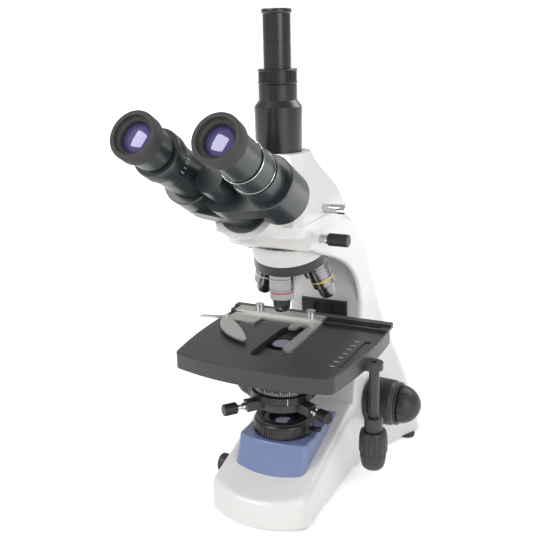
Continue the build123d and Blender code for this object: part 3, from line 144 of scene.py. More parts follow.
lit_point = Vector((0, 0, 0.25))
for name, place, size, power in (
    ("key_lamp", (-0.9, -1.5, 1.7), 1.2, 26),
    ("fill_lamp", (1.6, -1.1, 0.9), 1.1, 14),
    ("rim_lamp", (0.7, 1.3, 1.5), 1.0, 12),
):
    lamp = bpy.data.objects.new(name, bpy.data.lights.new(name, "AREA"))
    lamp.data.size, lamp.data.energy = size, power
    lamp.location = place
    lamp.rotation_euler = (lit_point - Vector(place)).to_track_quat("-Z", "Y").to_euler()
    bpy.context.collection.objects.link(lamp)

turn_right, look_down, horizon_tilt = radians(26.2), radians(16.092), radians(-1.2928)
camera_place = Vector((0.322908, -0.679766, 0.455803))
right = Vector((cos(turn_right), sin(turn_right), 0))
back = Vector((sin(turn_right) * cos(look_down), -cos(turn_right) * cos(look_down), sin(look_down)))
up = back.cross(right)
axes = (
    right * cos(horizon_tilt) + up * sin(horizon_tilt),
    up * cos(horizon_tilt) - right * sin(horizon_tilt),
    back,
)
camera = bpy.data.objects.new("photo_camera", bpy.data.cameras.new("photo_camera"))
camera.data.lens, camera.data.sensor_width = 53.74, 36
camera.matrix_world = Matrix.Translation(camera_place) @ Matrix(axes).transposed().to_4x4()
bpy.context.collection.objects.link(camera)
bpy.context.scene.camera = camera
bpy.context.scene.view_settings.view_transform = "Standard"

# The stand: one aluminium casting for the base, the flared foot of the arm and the arm itself.
# It is primed and sprayed with a glossy warm white enamel, so it shows a faint orange peel.
# The head's body and the nosepiece dome get the same coat.
enamel = Finish("white enamel")
patches = enamel.noise(9.0, 2.0)
enamel.set(
    Base_Color=enamel.mix(patches, (0.71, 0.695, 0.68), (0.745, 0.73, 0.715)),
    Roughness=patches * 0.06 + 0.3,
    Coat_Weight=0.35,
    Coat_Roughness=0.12,
    Normal=enamel.bump(enamel.noise(900.0, 1.0), 0.05, 0.0002),
)
enamel.on("stand_casting", "head_body", "nosepiece_base")

# The sheet steel plate under the base and its four moulded rubber feet, each held by a screw.
# The rubber is matt brown black and picks up dust.
black_steel = Finish("black sheet steel")
rolled = black_steel.noise(60.0)
black_steel.set(Base_Color=black_steel.mix(rolled, (0.03, 0.03, 0.032), (0.05, 0.05, 0.052)), Roughness=0.5)
black_steel.on("base_plate")
rubber = Finish("black rubber")
dust = rubber.noise(140.0, 5.0)
rubber.set(
    Base_Color=rubber.mix(dust, (0.022, 0.019, 0.018), (0.05, 0.044, 0.042)),
    Roughness=dust * 0.2 + 0.55,
    Normal=rubber.bump(rubber.noise(1500.0), 0.12, 0.0002),
)
rubber.on("rubber_feet", "eyecup_left", "eyecup_right")

# The lamp cover: a moulded insert on the sloping deck, in a glossy periwinkle blue plastic.
# It holds the field lens mount, and the lamp stands on its heat sink under it.
blue = Finish("blue moulding")
flow = blue.noise(14.0, 2.0)
blue.set(
    Base_Color=blue.mix(flow, (0.15, 0.195, 0.37), (0.18, 0.228, 0.41)),
    Roughness=flow * 0.08 + 0.26,
    Coat_Weight=0.4,
    Coat_Roughness=0.1,
    Normal=blue.bump(blue.noise(1100.0, 1.0), 0.05, 0.0002),
)
blue.on("lamp_cover")

# The field lens and the field diaphragm ring round it: a black anodised ring, turned and then knurled,
# with white filled lines on its top face and a short lever on the right that opens the diaphragm.
# The other lenses of the instrument have the same violet coating.
mm = 0.001
glass = Finish("coated glass")
coating = glass.noise(30.0, 1.0)
glass.set(
    Base_Color=glass.mix(coating, (0.035, 0.035, 0.12), (0.1, 0.075, 0.24)),
    Roughness=0.05,
    Metallic=0.2,
    Coat_Weight=1.0,
    Coat_Roughness=0.02,
)
glass.on("eye_lens_left", "eye_lens_right", "field_lens", "condenser_lens")
anodised = Finish("black anodised metal")
tool_lines = anodised.noise(220.0, 2.0, stretch=(0.1, 0.1, 6.0))
anodised.set(
    Base_Color=anodised.mix(tool_lines, (0.012, 0.011, 0.012), (0.024, 0.022, 0.022)),
    Roughness=tool_lines * 0.12 + 0.24,
    Metallic=0.3,
    Coat_Weight=0.3,
    Coat_Roughness=0.15,
)
anodised.on("photo_tube_base", "photo_sleeve", "photo_clamp_ring", "turret_ring", "condenser_body")
anodised.on("field_lens_mount", "field_diaphragm_ring", "iris_ring")
white_ink = Finish("white filled engraving")
white_ink.set(Base_Color=white_ink.mix(white_ink.noise(400.0), (0.68, 0.68, 0.66), (0.82, 0.82, 0.8)), Roughness=0.6)


def pick_faces(piece, wanted):
    """Enters edit mode with the faces selected that the test wants, by centre and normal."""
    bpy.context.tool_settings.mesh_select_mode = (False, False, True)
    bpy.ops.object.mode_set(mode="EDIT")
    bpy.ops.mesh.select_all(action="DESELECT")
    bpy.ops.object.mode_set(mode="OBJECT")
    for face in piece.data.polygons:
        face.select = wanted(face)
    bpy.ops.object.mode_set(mode="EDIT")


def turned(name, stations, segments=96, hollow=False):
    """A lathe piece: a disc is drawn and extruded from station to station (radius, height), in millimetres.

    A hollow piece's last station is its first one again, and the two discs between them are taken out.
    """
    bpy.ops.object.select_all(action="DESELECT")
    radius, height = stations[0]
    bpy.ops.mesh.primitive_circle_add(vertices=segments, radius=radius, fill_type="NGON")
    piece = bpy.context.object
    piece.name = name
    bpy.ops.object.mode_set(mode="EDIT")
    bpy.ops.mesh.select_all(action="SELECT")
    bpy.ops.transform.translate(value=(0, 0, height))
    for next_radius, next_height in stations[1:]:
        bpy.ops.mesh.extrude_region_move(TRANSFORM_OT_translate={"value": (0, 0, next_height - height)})
        share = next_radius / radius
        bpy.ops.transform.resize(value=(share, share, 1), center_override=(0, 0, next_height))
        radius, height = next_radius, next_height
    if hollow:
        bpy.ops.object.mode_set(mode="OBJECT")
        pick_faces(piece, lambda face: len(face.vertices) > 4)
        bpy.ops.mesh.delete(type="ONLY_FACE")
        bpy.ops.mesh.select_all(action="SELECT")
        bpy.ops.mesh.remove_doubles(threshold=0.0005)
    bpy.ops.mesh.select_all(action="SELECT")
    bpy.ops.mesh.normals_make_consistent(inside=False)
    bpy.ops.object.mode_set(mode="OBJECT")
    return piece


def ribbed(piece, low, high, depth, every=2, margin=0.1):
    """Sinks every second (or nth) face of the round outside between two heights, inset by a margin."""

    def outside(face):
        level = abs(face.normal.z) < 0.4 and low < face.center.z < high
        return level and face.normal.xy.dot(face.center.xy) > 0

    bands = {round(face.center.z, 6) for face in piece.data.polygons if outside(face)}
    segments = sum(outside(face) for face in piece.data.polygons) / len(bands)

    def groove(face):
        turn = (atan2(face.center.y, face.center.x) / (2 * pi)) % 1.0
        return outside(face) and int(turn * segments) % every == 0

    pick_faces(piece, groove)
    bpy.ops.mesh.inset(thickness=margin, use_individual=True)
    bpy.ops.mesh.extrude_region_shrink_fatten(TRANSFORM_OT_shrink_fatten={"value": -depth})
    bpy.ops.object.mode_set(mode="OBJECT")


def fitted(piece, finish, body, place, replaced=(), angle=35):
    """Moves a finished piece's mesh from millimetres to its place, and lets it ride on its body."""
    piece.data.transform(place @ Matrix.Scale(mm, 4))
    piece.data.materials.clear()
    piece.data.materials.append(finish.material)
    bpy.ops.object.select_all(action="DESELECT")
    piece.select_set(True)
    bpy.context.view_layer.objects.active = piece
    bpy.ops.object.shade_smooth_by_angle(angle=radians(angle))
    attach(piece, body)
    if replaced:
        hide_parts(*replaced)


def small_bar(place, size, bevel):
    """One filled line of an engraving: a cube drawn out to its size, with its edges bevelled."""
    bpy.ops.object.select_all(action="DESELECT")
    bpy.ops.mesh.primitive_cube_add(size=1)
    bar = bpy.context.object
    bar.data.transform(Matrix.Diagonal((*size, 1)))
    bpy.ops.object.mode_set(mode="EDIT")
    bpy.ops.mesh.select_all(action="SELECT")
    bpy.ops.mesh.bevel(offset=bevel, segments=1)
    bpy.ops.object.mode_set(mode="OBJECT")
    bar.data.transform(place)
    return bar


def joined(bars, name):
    """Joins the lines of one scale into one piece."""
    for bar in bars:
        bar.select_set(True)
    bpy.context.view_layer.objects.active = bars[0]
    bpy.ops.object.join()
    bars[0].name = name
    return bars[0]


def marks_round(name, body, place, radius, low, high, width, turns, deep=0.24):
    """White lines round a ring at some turns in degrees, each sunk in it and left just proud of it."""
    proud = 0.06
    bars = []
    for turn in turns:
        stand_off = Matrix.Translation((radius + proud - deep / 2, 0, (low + high) / 2))
        bars.append(small_bar(Matrix.Rotation(radians(turn), 4, "Z") @ stand_off, (deep, width, high - low), 0.04))
    fitted(joined(bars, name), white_ink, body, place)


upright = Matrix()
field_bottom, field_top = 71.1, 86.1
field_radius, field_bore = 31.0, 21.8
field_grip = turned("field_ring_grip", [
    (field_bore, field_bottom), (field_radius - 0.8, field_bottom), (field_radius, field_bottom + 0.8),
    (field_radius, field_top - 2.7), (field_radius - 0.6, field_top - 1.7), (field_radius - 2.4, field_top),
    (field_bore + 2.2, field_top), (field_bore + 1.4, field_top - 0.9), (field_bore, field_top - 0.9),
    (field_bore, field_bottom),
], segments=144, hollow=True)
ribbed(field_grip, field_bottom + 0.9, field_top - 3.1, depth=0.8, margin=0.12)
fitted(field_grip, anodised, "field_ring", upright, ["field_diaphragm_ring"])
lever_height, lever_radius = 76.2, 2.3
lever_start, lever_end = field_radius - 1.0, field_radius + 10.4
lever = turned("field_ring_lever", [
    (0.3, lever_start), (lever_radius, lever_start), (lever_radius, lever_end - 5.4),
    (lever_radius + 0.2, lever_end - 4.8), (lever_radius + 0.2, lever_end - 0.8),
    (lever_radius - 0.2, lever_end), (0.3, lever_end),
], segments=48)
lever_place = Matrix.Translation((0, 0, lever_height * mm)) @ Matrix.Rotation(pi / 2, 4, "Y")
fitted(lever, anodised, "field_ring", lever_place)
first_line = -150
marks_round(
    "field_ring_marks", "field_ring", upright, radius=field_radius - 2.8, low=field_top - 0.2,
    high=field_top + 0.06, width=0.4, turns=[first_line + 4 * n for n in range(40)], deep=1.8,
)

# The lamp's brightness dial, the rocker switch and the mains inlet: moulded in a matt black plastic.
# The knobs and dials of the rest of the instrument are the same plastic.
grip = Finish("black grip moulding")
wear = grip.noise(50.0, 5.0)
grip.set(
    Base_Color=grip.mix(wear, (0.018, 0.018, 0.018), (0.034, 0.033, 0.033)),
    Roughness=wear * 0.15 + 0.38,
    Normal=grip.bump(grip.noise(900.0), 0.1, 0.0002),
)
grip.on("brightness_knob", "power_switch", "power_inlet")
grip.on("coarse_knob_left", "coarse_knob_right", "fine_knob_left", "fine_knob_right", "tension_ring")
grip.on("stage_y_knob", "stage_x_knob", "condenser_knob", "head_clamp_screw")

# The focus guide on the arm and the carriage on it, under the satin slate black coat of the stage.
# A thin dark strip closes the guide's slot, so the arm's paint doesn't show through it.
slate = Finish("slate black coat")
mottle = slate.noise(35.0, 4.0)
slate.set(
    Base_Color=slate.mix(mottle, (0.02, 0.021, 0.023), (0.03, 0.031, 0.033)),
    Roughness=mottle * 0.1 + 0.36,
    Coat_Weight=0.15,
    Coat_Roughness=0.3,
    Normal=slate.bump(slate.noise(1300.0), 0.08, 0.0002),
)
slate.on("stage_upper_plate", "stage_lower_plate", "stage_rail", "stage_drive_rod", "focus_guide", "focus_carriage")
slate.on("condenser_bracket")
strip_place, strip_size = (0, 111.86, 161), (25, 0.2, 25)
bpy.ops.object.select_all(action="DESELECT")
bpy.ops.mesh.primitive_cube_add(size=1)
strip = bpy.context.object
strip.name = "guide_cover_strip"
strip.data.transform(Matrix.Translation(strip_place) @ Matrix.Diagonal((*strip_size, 1)))
fitted(strip, slate, "stand", upright)

# The focusing knobs, alike on both sides: a moulded coarse drum with grip ribs, a ring with white lines,
# and an egg-shaped fine knob with long flutes. The coarse pair turns on a chromed sleeve and the fine pair
# on the shaft through it.
chrome = Finish("bright chrome")
smear = chrome.noise(60.0, 4.0)
chrome.set(Base_Color=(0.62, 0.62, 0.63), Metallic=1.0, Roughness=smear * 0.12 + 0.12)
chrome.on("coarse_sleeve", "fine_shaft", "led_lamp", "beam_splitter_rod")
chrome.on("holder_thumbscrews", "centring_screw_left", "centring_screw_right")
focus_axis = Vector((0, 109.8, 66))
drum_radius, drum_end = 25.0, 85.0
dial_radius, dial_end = 23.5, 89.9
egg_start, egg_radius = 90.3, 21.0


def along_focus(side):
    """Lays a piece turned about Z along the focusing shaft, counted outwards from the middle."""
    return Matrix.Translation(focus_axis * mm) @ Matrix.Rotation(side * pi / 2, 4, "Y")


for name, side, drum_start in (("right", 1, 59.6), ("left", -1, 54.8)):
    drum = turned(f"coarse_{name}_drum", [
        (9.0, drum_start), (drum_radius - 2.5, drum_start), (drum_radius - 0.4, drum_start + 0.8),
        (drum_radius + 0.5, drum_start + 2.8), (drum_radius + 0.5, drum_start + 5.0),
        (drum_radius, drum_start + 5.6), (drum_radius + 0.3, drum_start + 6.4), (drum_radius, drum_end - 3.5),
        (drum_radius - 0.6, drum_end - 1.5), (drum_radius - 1.5, drum_end - 0.4), (drum_radius - 1.8, drum_end),
        (9.0, drum_end), (9.0, drum_start),
    ], segments=144, hollow=True)
    ribbed(drum, drum_start + 6.5, drum_end - 4.0, depth=0.5, every=3, margin=0.15)
    fitted(drum, grip, "coarse", along_focus(side), ["coarse_knob_" + name])
    dial = turned(f"coarse_{name}_dial", [
        (5.0, drum_end), (dial_radius - 0.3, drum_end), (dial_radius, drum_end + 0.3), (dial_radius, dial_end - 0.5),
        (dial_radius - 0.4, dial_end), (5.0, dial_end), (5.0, drum_end),
    ], segments=120, hollow=True)
    fitted(dial, grip, "coarse", along_focus(side))
    marks_round(
        f"coarse_{name}_marks", "coarse", along_focus(side), radius=dial_radius, low=drum_end + 0.5,
        high=drum_end + 2.0, width=0.35, turns=[6 * n for n in range(60)],
    )
    egg = turned(f"fine_{name}_egg", [
        (4.0, egg_start), (egg_radius - 1.0, egg_start), (egg_radius - 0.2, egg_start + 0.6),
        (egg_radius, egg_start + 1.7), (20.6, 95.0), (19.6, 98.5), (17.8, 102.0), (15.2, 105.4),
        (11.8, 108.4), (8.0, 110.6), (4.0, 111.9), (0.5, 112.3),
    ])
    ribbed(egg, egg_start + 2.7, 106.0, depth=0.7, every=8, margin=0.3)
    fitted(egg, grip, "fine", along_focus(side), ["fine_knob_" + name], angle=50)

# The condenser's iris ring: a black ring with a straight knurl and one white index line, which turns
# under the white aperture scale on the condenser's body.
iris_bottom, iris_top = 109.6, 118.0
iris_radius, iris_bore = 33.3, 24.1
iris_grip = turned("iris_ring_grip", [
    (iris_bore, iris_bottom), (iris_radius - 0.7, iris_bottom), (iris_radius, iris_bottom + 0.6),
    (iris_radius, iris_top - 0.6), (iris_radius - 0.6, iris_top), (iris_bore, iris_top), (iris_bore, iris_bottom),
], segments=180, hollow=True)
ribbed(iris_grip, iris_bottom + 0.8, iris_top - 0.8, depth=0.5)
fitted(iris_grip, anodised, "iris", upright, ["iris_ring"])
marks_round(
    "iris_index", "iris", upright, radius=iris_radius, low=iris_bottom + 0.6, high=iris_top - 0.6, width=0.7,
    turns=[-58],
)
scale_radius, scale_bottom, first_mark = 30.5, 118.8, -150
marks_round(
    "aperture_scale", "condenser", upright, radius=scale_radius, low=scale_bottom, high=scale_bottom + 3.2,
    width=0.4, turns=[first_mark + 3.2 * n for n in range(36)],
)
marks_round(
    "aperture_long_marks", "condenser", upright, radius=scale_radius, low=scale_bottom, high=scale_bottom + 4.8,
    width=0.55, turns=[first_mark + 16 * n for n in range(8)],
)

# The centring screws: a chromed neck with a groove and a knurled black grip on its outer end.
# Each turns in the carrier and pushes the condenser into line.
screw_height = 104.5
shank, collar, groove_radius = 2.5, 3.4, 2.2
thumb_start, thumb_end, thumb_radius = 52.0, 66.0, 6.0
for name, angle in (("left", -129), ("right", -24)):
    heading = Matrix.Rotation(radians(angle), 4, "Z") @ Matrix.Rotation(pi / 2, 4, "Y")
    outwards = Matrix.Translation((0, 0, screw_height * mm)) @ heading
    neck = turned(f"centring_{name}_neck", [
        (0.3, 21.8), (shank, 21.8), (shank, 43.5), (collar, 43.9), (collar, 46.6), (groove_radius, 47.0),
        (groove_radius, 49.5), (collar - 0.4, 50.0), (collar - 0.4, thumb_start + 0.2), (0.3, thumb_start + 0.2),
    ], segments=48)
    fitted(neck, chrome, "screw_" + name, outwards, ["centring_screw_" + name])
    thumb = turned(f"centring_{name}_grip", [
        (0.3, thumb_start), (thumb_radius - 0.8, thumb_start), (thumb_radius, thumb_start + 0.8),
        (thumb_radius, thumb_end - 0.8), (thumb_radius - 0.8, thumb_end), (0.3, thumb_end),
    ], segments=60)
    ribbed(thumb, thumb_start + 1.0, thumb_end - 1.0, depth=0.4)
    fitted(thumb, grip, "screw_" + name, outwards)

# The stage scale: short lines engraved in the stage's coat beside the groove on its right, and filled
# with white. They show how far the slide is moved from front to back.
stage_top, scale_x, scale_front, scale_step = 167.42, 70.5, -44.6, 11.04
line_size = (5.0, 0.6, 0.12)
stage_marks = [
    small_bar(Matrix.Translation((scale_x, scale_front + scale_step * n, stage_top)), line_size, 0.03)
    for n in range(7)
]
fitted(joined(stage_marks, "stage_scale_marks"), white_ink, "stage", upright)

# The slide holder and its spring finger: brushed stainless sheet, cut out and bent. Two thumbscrews hold
# it to the rail, and the finger pushes the slide into the holder's corner.
brushed = Finish("brushed stainless")
strokes = brushed.noise(700.0, 3.0, stretch=(1.0, 0.05, 1.0))
brushed.set(
    Base_Color=brushed.mix(strokes, (0.5, 0.49, 0.47), (0.66, 0.65, 0.63)),
    Metallic=0.85,
    Roughness=strokes * 0.15 + 0.3,
    Normal=brushed.bump(strokes, 0.1, 0.0001),
)
brushed.on("slide_holder", "slide_finger")

# The stage drive: a fluted black knob for Y over a rounded one for X, on a hanging tube with a collar.
# The X knob's shaft runs up through the Y knob.
drive_place = Matrix.Translation(Vector((95.9, 0, 0)) * mm)
y_bottom, y_top, y_radius, y_bore = 66.0, 87.5, 14.0, 5.1
y_grip = turned("stage_y_grip", [
    (y_bore, y_bottom), (y_radius - 0.8, y_bottom), (y_radius, y_bottom + 0.8), (y_radius, y_bottom + 10.0),
    (y_radius - 0.4, y_bottom + 16.0), (y_radius - 1.4, y_top - 0.9), (y_radius - 2.2, y_top), (y_bore, y_top),
    (y_bore, y_bottom),
], hollow=True)
ribbed(y_grip, y_bottom + 1.0, y_top - 1.5, depth=0.6, every=6, margin=0.25)
fitted(y_grip, grip, "y_knob", drive_place, ["stage_y_knob"], angle=45)
x_bottom, x_top, x_radius, x_shaft = 47.0, 65.7, 13.0, 2.5
x_grip = turned("stage_x_grip", [
    (0.3, x_bottom), (6.0, x_bottom + 0.1), (8.8, x_bottom + 0.9), (10.6, x_bottom + 3.0), (11.8, x_bottom + 7.0),
    (x_radius - 0.3, x_bottom + 13.0), (x_radius, x_top - 1.1), (x_radius - 0.6, x_top), (x_shaft, x_top),
    (x_shaft, 125.0), (0.3, 125.0),
])
ribbed(x_grip, x_bottom + 3.5, x_top - 1.7, depth=0.5, every=6, margin=0.25)
fitted(x_grip, grip, "x_knob", drive_place, ["stage_x_knob"], angle=45)

# The objectives: dark chromed barrels with turned grooves, a tapered nose that springs in, and a coloured
# ring that tells the power. They screw into the turret and their axes meet in one point above it.
dark_chrome = Finish("dark chrome")
turning = dark_chrome.noise(120.0, 3.0)
dark_chrome.set(
    Base_Color=dark_chrome.mix(turning, (0.2, 0.2, 0.21), (0.3, 0.3, 0.31)),
    Metallic=1.0,
    Roughness=turning * 0.12 + 0.14,
)
dark_chrome.on("objective_4x", "objective_10x", "objective_40x", "objective_100x")
turret_tilt, seat_radius, seat_height = radians(16), 24.5, 239
seat = seat_radius / sin(turret_tilt)
meeting_point = Vector((0, 0, seat_height + seat)) * mm
thread, sleeve_radius, turned_groove, nose = 9.9, 11.7, 11.2, 8.2
band_start, band_end = 20.2, 21.6
red, yellow, blue_ring, silver = (0.55, 0.03, 0.03), (0.75, 0.6, 0.05), (0.05, 0.16, 0.6), (0.75, 0.75, 0.75)
for name, turn, length, colour in (
    ("4x", 0, 41, red), ("10x", 90, 41, yellow), ("40x", 180, 44, blue_ring), ("100x", 270, 44, silver),
):
    swing = radians(turn)
    down = Vector((
        sin(turret_tilt) * sin(swing),
        sin(turret_tilt) * cos(turret_tilt) * (1 - cos(swing)),
        -cos(turret_tilt) ** 2 - sin(turret_tilt) ** 2 * cos(swing),
    ))
    lens_place = Matrix.Translation(meeting_point) @ down.to_track_quat("Z", "Y").to_matrix().to_4x4()
    tip = seat + length
    barrel = turned(f"objective_{name}_barrel", [
        (thread, seat - 4.5), (thread, seat), (sleeve_radius - 0.3, seat), (sleeve_radius, seat + 0.4),
        (sleeve_radius, seat + 6.0), (turned_groove, seat + 6.3), (turned_groove, seat + 7.2),
        (sleeve_radius, seat + 7.5), (sleeve_radius, seat + 17.0), (turned_groove + 0.1, seat + 17.2),
        (turned_groove + 0.1, seat + 18.4), (sleeve_radius, seat + 18.6), (sleeve_radius, tip - 13.5),
        (turned_groove, tip - 12.8), (9.4, tip - 12.4), (nose + 0.4, tip - 8.0), (nose, tip - 3.0),
        (6.5, tip), (4.4, tip), (4.2, tip - 0.9), (0.3, tip - 0.9),
    ])
    fitted(barrel, dark_chrome, "turret", lens_place, ["objective_" + name])
    ink = Finish(f"objective {name} ring paint")
    ink.set(Base_Color=ink.mix(ink.noise(300.0), colour, tuple(0.8 * part for part in colour)), Roughness=0.35)
    band = turned(f"objective_{name}_band", [
        (sleeve_radius - 0.45, seat + band_start), (sleeve_radius + 0.02, seat + band_start),
        (sleeve_radius + 0.02, seat + band_end), (sleeve_radius - 0.45, seat + band_end),
        (sleeve_radius - 0.45, seat + band_start),
    ], hollow=True)
    fitted(band, ink, "turret", lens_place)

# The head clamp: a chromed screw with a slender knurled black grip, in the right side of the arm.
# Its tip bears on the head's spigot.
clamp_height, clamp_shank = 274, 3.0
across = Matrix.Translation(Vector((0, 0, clamp_height)) * mm) @ Matrix.Rotation(pi / 2, 4, "Y")
clamp_neck = turned("head_clamp_neck", [
    (0.3, 19.2), (clamp_shank, 19.2), (clamp_shank, 42.3), (4.4, 42.4), (4.5, 44.4), (clamp_shank + 0.4, 44.8),
    (clamp_shank + 0.4, 46.4), (4.4, 46.8), (4.4, 49.4), (0.3, 49.4),
], segments=48)
fitted(clamp_neck, chrome, "head_clamp", across, ["head_clamp_screw"])
clamp_start, clamp_end, clamp_radius = 49.5, 69.5, 6.0
clamp_grip = turned("head_clamp_grip", [
    (0.3, clamp_start), (clamp_radius - 0.8, clamp_start), (clamp_radius, clamp_start + 0.8),
    (clamp_radius, clamp_end - 0.9), (clamp_radius - 0.8, clamp_end), (0.3, clamp_end),
], segments=60)
ribbed(clamp_grip, clamp_start + 1.0, clamp_end - 1.1, depth=0.45)
fitted(clamp_grip, grip, "head_clamp", across)

# The beam splitter rod: turned steel, chromed, with grooves near its end to hold it by. It is pulled out
# of the head's side to send the light up the photo tube.
rod_place = Matrix.Translation(Vector((0, 5, 302)) * mm) @ Matrix.Rotation(pi / 2, 4, "Y")
rod_radius, rod_groove, rod_end = 4.5, 3.9, 65.0
splitter = turned("beam_splitter_pull", [
    (0.3, 28.0), (rod_radius, 28.0), (rod_radius, 52.0), (rod_groove, 52.3), (rod_groove, 53.1),
    (rod_radius, 53.4), (rod_radius, 55.2), (rod_groove, 55.5), (rod_groove, 56.3), (rod_radius, 56.6),
    (rod_radius, rod_end - 1.4), (rod_radius - 0.9, rod_end), (0.3, rod_end),
], segments=64)
fitted(splitter, chrome, "splitter", rod_place, ["beam_splitter_rod"])

# The binocular housings and tubes: cast housings and turned tubes in a dark teal black lacquer.
# They swing on the hub between them, to set the distance between the eyes.
teal = Finish("teal black lacquer")
haze = teal.noise(25.0, 3.0)
teal.set(
    Base_Color=teal.mix(haze, (0.014, 0.02, 0.022), (0.024, 0.032, 0.035)),
    Roughness=haze * 0.1 + 0.3,
    Coat_Weight=0.3,
    Coat_Roughness=0.2,
    Normal=teal.bump(teal.noise(1200.0), 0.06, 0.0002),
)
teal.on("prism_housing_left", "prism_housing_right", "eyepiece_tube_left", "eyepiece_tube_right")
teal.on("dioptre_ring", "eyepiece_left", "eyepiece_right", "hinge_hub")

# The eyepieces: lacquered barrels with a rubber eyecup folded over the rim and a coated lens.
# Each stands in its tube on a plated seat, and a thin plated ring shows where it sits.
tube_lean = radians(30)
tube_in = Vector((0, cos(tube_lean), -sin(tube_lean)))
tube_up = Vector((0, sin(tube_lean), cos(tube_lean)))
half_eye_distance, eye_front, eye_height = 35.8, -179.9, 388.8


def down_tube(side):
    """Lays a piece turned about Z along an eyepiece axis, with its heights counted in from the eyecup."""
    eye_point = Vector((side * half_eye_distance, eye_front, eye_height)) * mm
    return Matrix.Translation(eye_point) @ Matrix((Vector((1, 0, 0)), -tube_up, tube_in)).transposed().to_4x4()


barrel_radius, neck_radius, shoulder = 17.5, 12.5, 8.0
cup_radius, cup_end, cup_well = 20.2, 13.0, 15.9
sides = {"right": 1, "left": -1}
for name, side in sides.items():
    cup = turned(f"eyecup_{name}_rubber", [
        (barrel_radius, cup_end), (cup_radius - 0.7, cup_end), (cup_radius - 0.2, cup_end - 0.6),
        (cup_radius, cup_end - 1.6), (cup_radius, 1.9), (cup_radius - 0.3, 0.9), (cup_radius - 1.1, 0.25),
        (cup_radius - 2.0, 0.0), (cup_well + 0.7, 0.1), (cup_well + 0.2, 0.5), (cup_well + 0.1, 1.2),
        (cup_well, 3.2), (15.5, 3.5), (14.8, 3.3), (13.4, 4.4), (12.9, 5.2), (12.6, shoulder - 0.1),
        (barrel_radius, shoulder), (barrel_radius, cup_end),
    ], hollow=True)
    fitted(cup, rubber, "eye_" + name, down_tube(side), ["eyecup_" + name], angle=40)
    lens = turned(f"eye_lens_{name}_glass", [
        (neck_radius, 11.0), (neck_radius, 8.2), (12.0, 7.6), (10.0, 6.8), (7.5, 6.2), (5.0, 5.8), (2.5, 5.6),
        (0.3, 5.5),
    ], segments=64)
    fitted(lens, glass, "eye_" + name, down_tube(side), ["eye_lens_" + name], angle=60)
for name, side, barrel_end in (("right", 1, 43.7), ("left", -1, 31.5)):
    barrel = turned(f"eyepiece_{name}_barrel", [
        (neck_radius, 11.0), (neck_radius, shoulder), (barrel_radius, shoulder), (barrel_radius, barrel_end - 2.2),
        (barrel_radius - 0.3, barrel_end - 2.0), (barrel_radius - 0.3, barrel_end - 1.5),
        (barrel_radius, barrel_end - 1.3), (barrel_radius, barrel_end - 0.4), (barrel_radius - 0.4, barrel_end),
        (11.6, barrel_end), (11.6, 72.0),
    ])
    fitted(barrel, teal, "eye_" + name, down_tube(side), ["eyepiece_" + name])
for name, start, end, radius in (
    ("eyepiece_seat_ring", 44.0, 44.8, 18.75),
    ("tube_plated_ring", 65.9, 66.7, 18.8),
):
    trim = turned(name, [
        (17.0, start), (radius - 0.2, start), (radius, start + 0.2), (radius, end - 0.2), (radius - 0.2, end),
        (17.0, end), (17.0, start),
    ], hollow=True)
    fitted(trim, chrome, "right_side", down_tube(sides["right"]))

# The dioptre ring on the left tube: a turned ring with a broad grip band and white setting marks.
# It screws the left eyepiece up and down a few millimetres.
dioptre_start, dioptre_end, dioptre_bore = 34.3, 57.7, 11.7
grip_radius, dial_neck = 21.0, 19.2
dioptre = turned("dioptre_ring_grip", [
    (dioptre_bore, dioptre_start), (grip_radius - 1.4, dioptre_start), (grip_radius - 0.4, dioptre_start + 0.7),
    (grip_radius, dioptre_start + 1.7), (grip_radius, dioptre_start + 12.7),
    (grip_radius - 0.4, dioptre_start + 13.3), (dial_neck + 0.2, dioptre_start + 14.1),
    (dial_neck, dioptre_start + 14.7), (dial_neck, dioptre_end - 0.7), (dial_neck - 0.3, dioptre_end),
    (dioptre_bore, dioptre_end), (dioptre_bore, dioptre_start),
], segments=144, hollow=True)
ribbed(dioptre, dioptre_start + 1.9, dioptre_start + 12.5, depth=0.25)
fitted(dioptre, teal, "dioptre", down_tube(sides["left"]), ["dioptre_ring"])
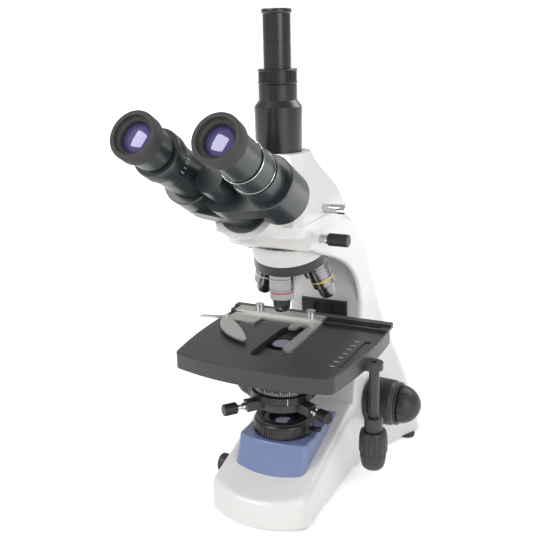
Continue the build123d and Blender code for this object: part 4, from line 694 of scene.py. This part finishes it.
marks_round(
    "dioptre_marks", "dioptre", down_tube(sides["left"]), radius=dial_neck, low=dioptre_end - 7.2,
    high=dioptre_end - 3.2, width=0.5, turns=[-20, -8, 4, 16, 28],
)

# The photo tube's clamp ring: a black turned ring with a fine straight knurl between two plain lips.
# It turns on the tube's neck and grips the sleeve.
ring_bottom, ring_top = 415.2, 428.6
ring_bore, ring_waist, ring_lip = 12.5, 17.4, 17.9
clamp_ring = turned("photo_clamp_knurl", [
    (ring_bore, ring_bottom), (ring_lip - 0.7, ring_bottom), (ring_lip, ring_bottom + 0.7),
    (ring_lip, ring_bottom + 1.8), (ring_waist, ring_bottom + 2.1), (ring_waist, ring_top - 2.2),
    (ring_lip, ring_top - 1.8), (ring_lip, ring_top - 0.8), (ring_lip - 0.7, ring_top), (ring_bore, ring_top),
    (ring_bore, ring_bottom),
], segments=120, hollow=True)
ribbed(clamp_ring, ring_bottom + 2.2, ring_top - 2.4, depth=0.45, margin=0.12)
fitted(clamp_ring, anodised, "photo_ring", upright, ["photo_clamp_ring"])

# The photo sleeve: a thin black tube with a fine line below a step near the top, and a rolled rim.
# It slides in the neck and takes the camera adapter.
sleeve_bottom, sleeve_top, line_height, step_height = 384.0, 480.4, 452.05, 476.0
sleeve_bore, sleeve_outside, rim_radius = 11.6, 12.35, 13.4
sleeve = turned("photo_sleeve_tube", [
    (sleeve_bore, sleeve_bottom), (sleeve_outside, sleeve_bottom), (sleeve_outside, line_height - 0.45),
    (sleeve_outside - 0.25, line_height - 0.25), (sleeve_outside - 0.25, line_height + 0.25),
    (sleeve_outside, line_height + 0.45), (sleeve_outside, step_height), (rim_radius - 0.3, step_height + 0.5),
    (rim_radius, step_height + 1.0), (rim_radius, sleeve_top - 0.8), (rim_radius - 0.5, sleeve_top),
    (sleeve_bore + 0.6, sleeve_top), (sleeve_bore, sleeve_top - 0.6), (sleeve_bore, sleeve_bottom),
], hollow=True)
fitted(sleeve, anodised, "photo", upright, ["photo_sleeve"])
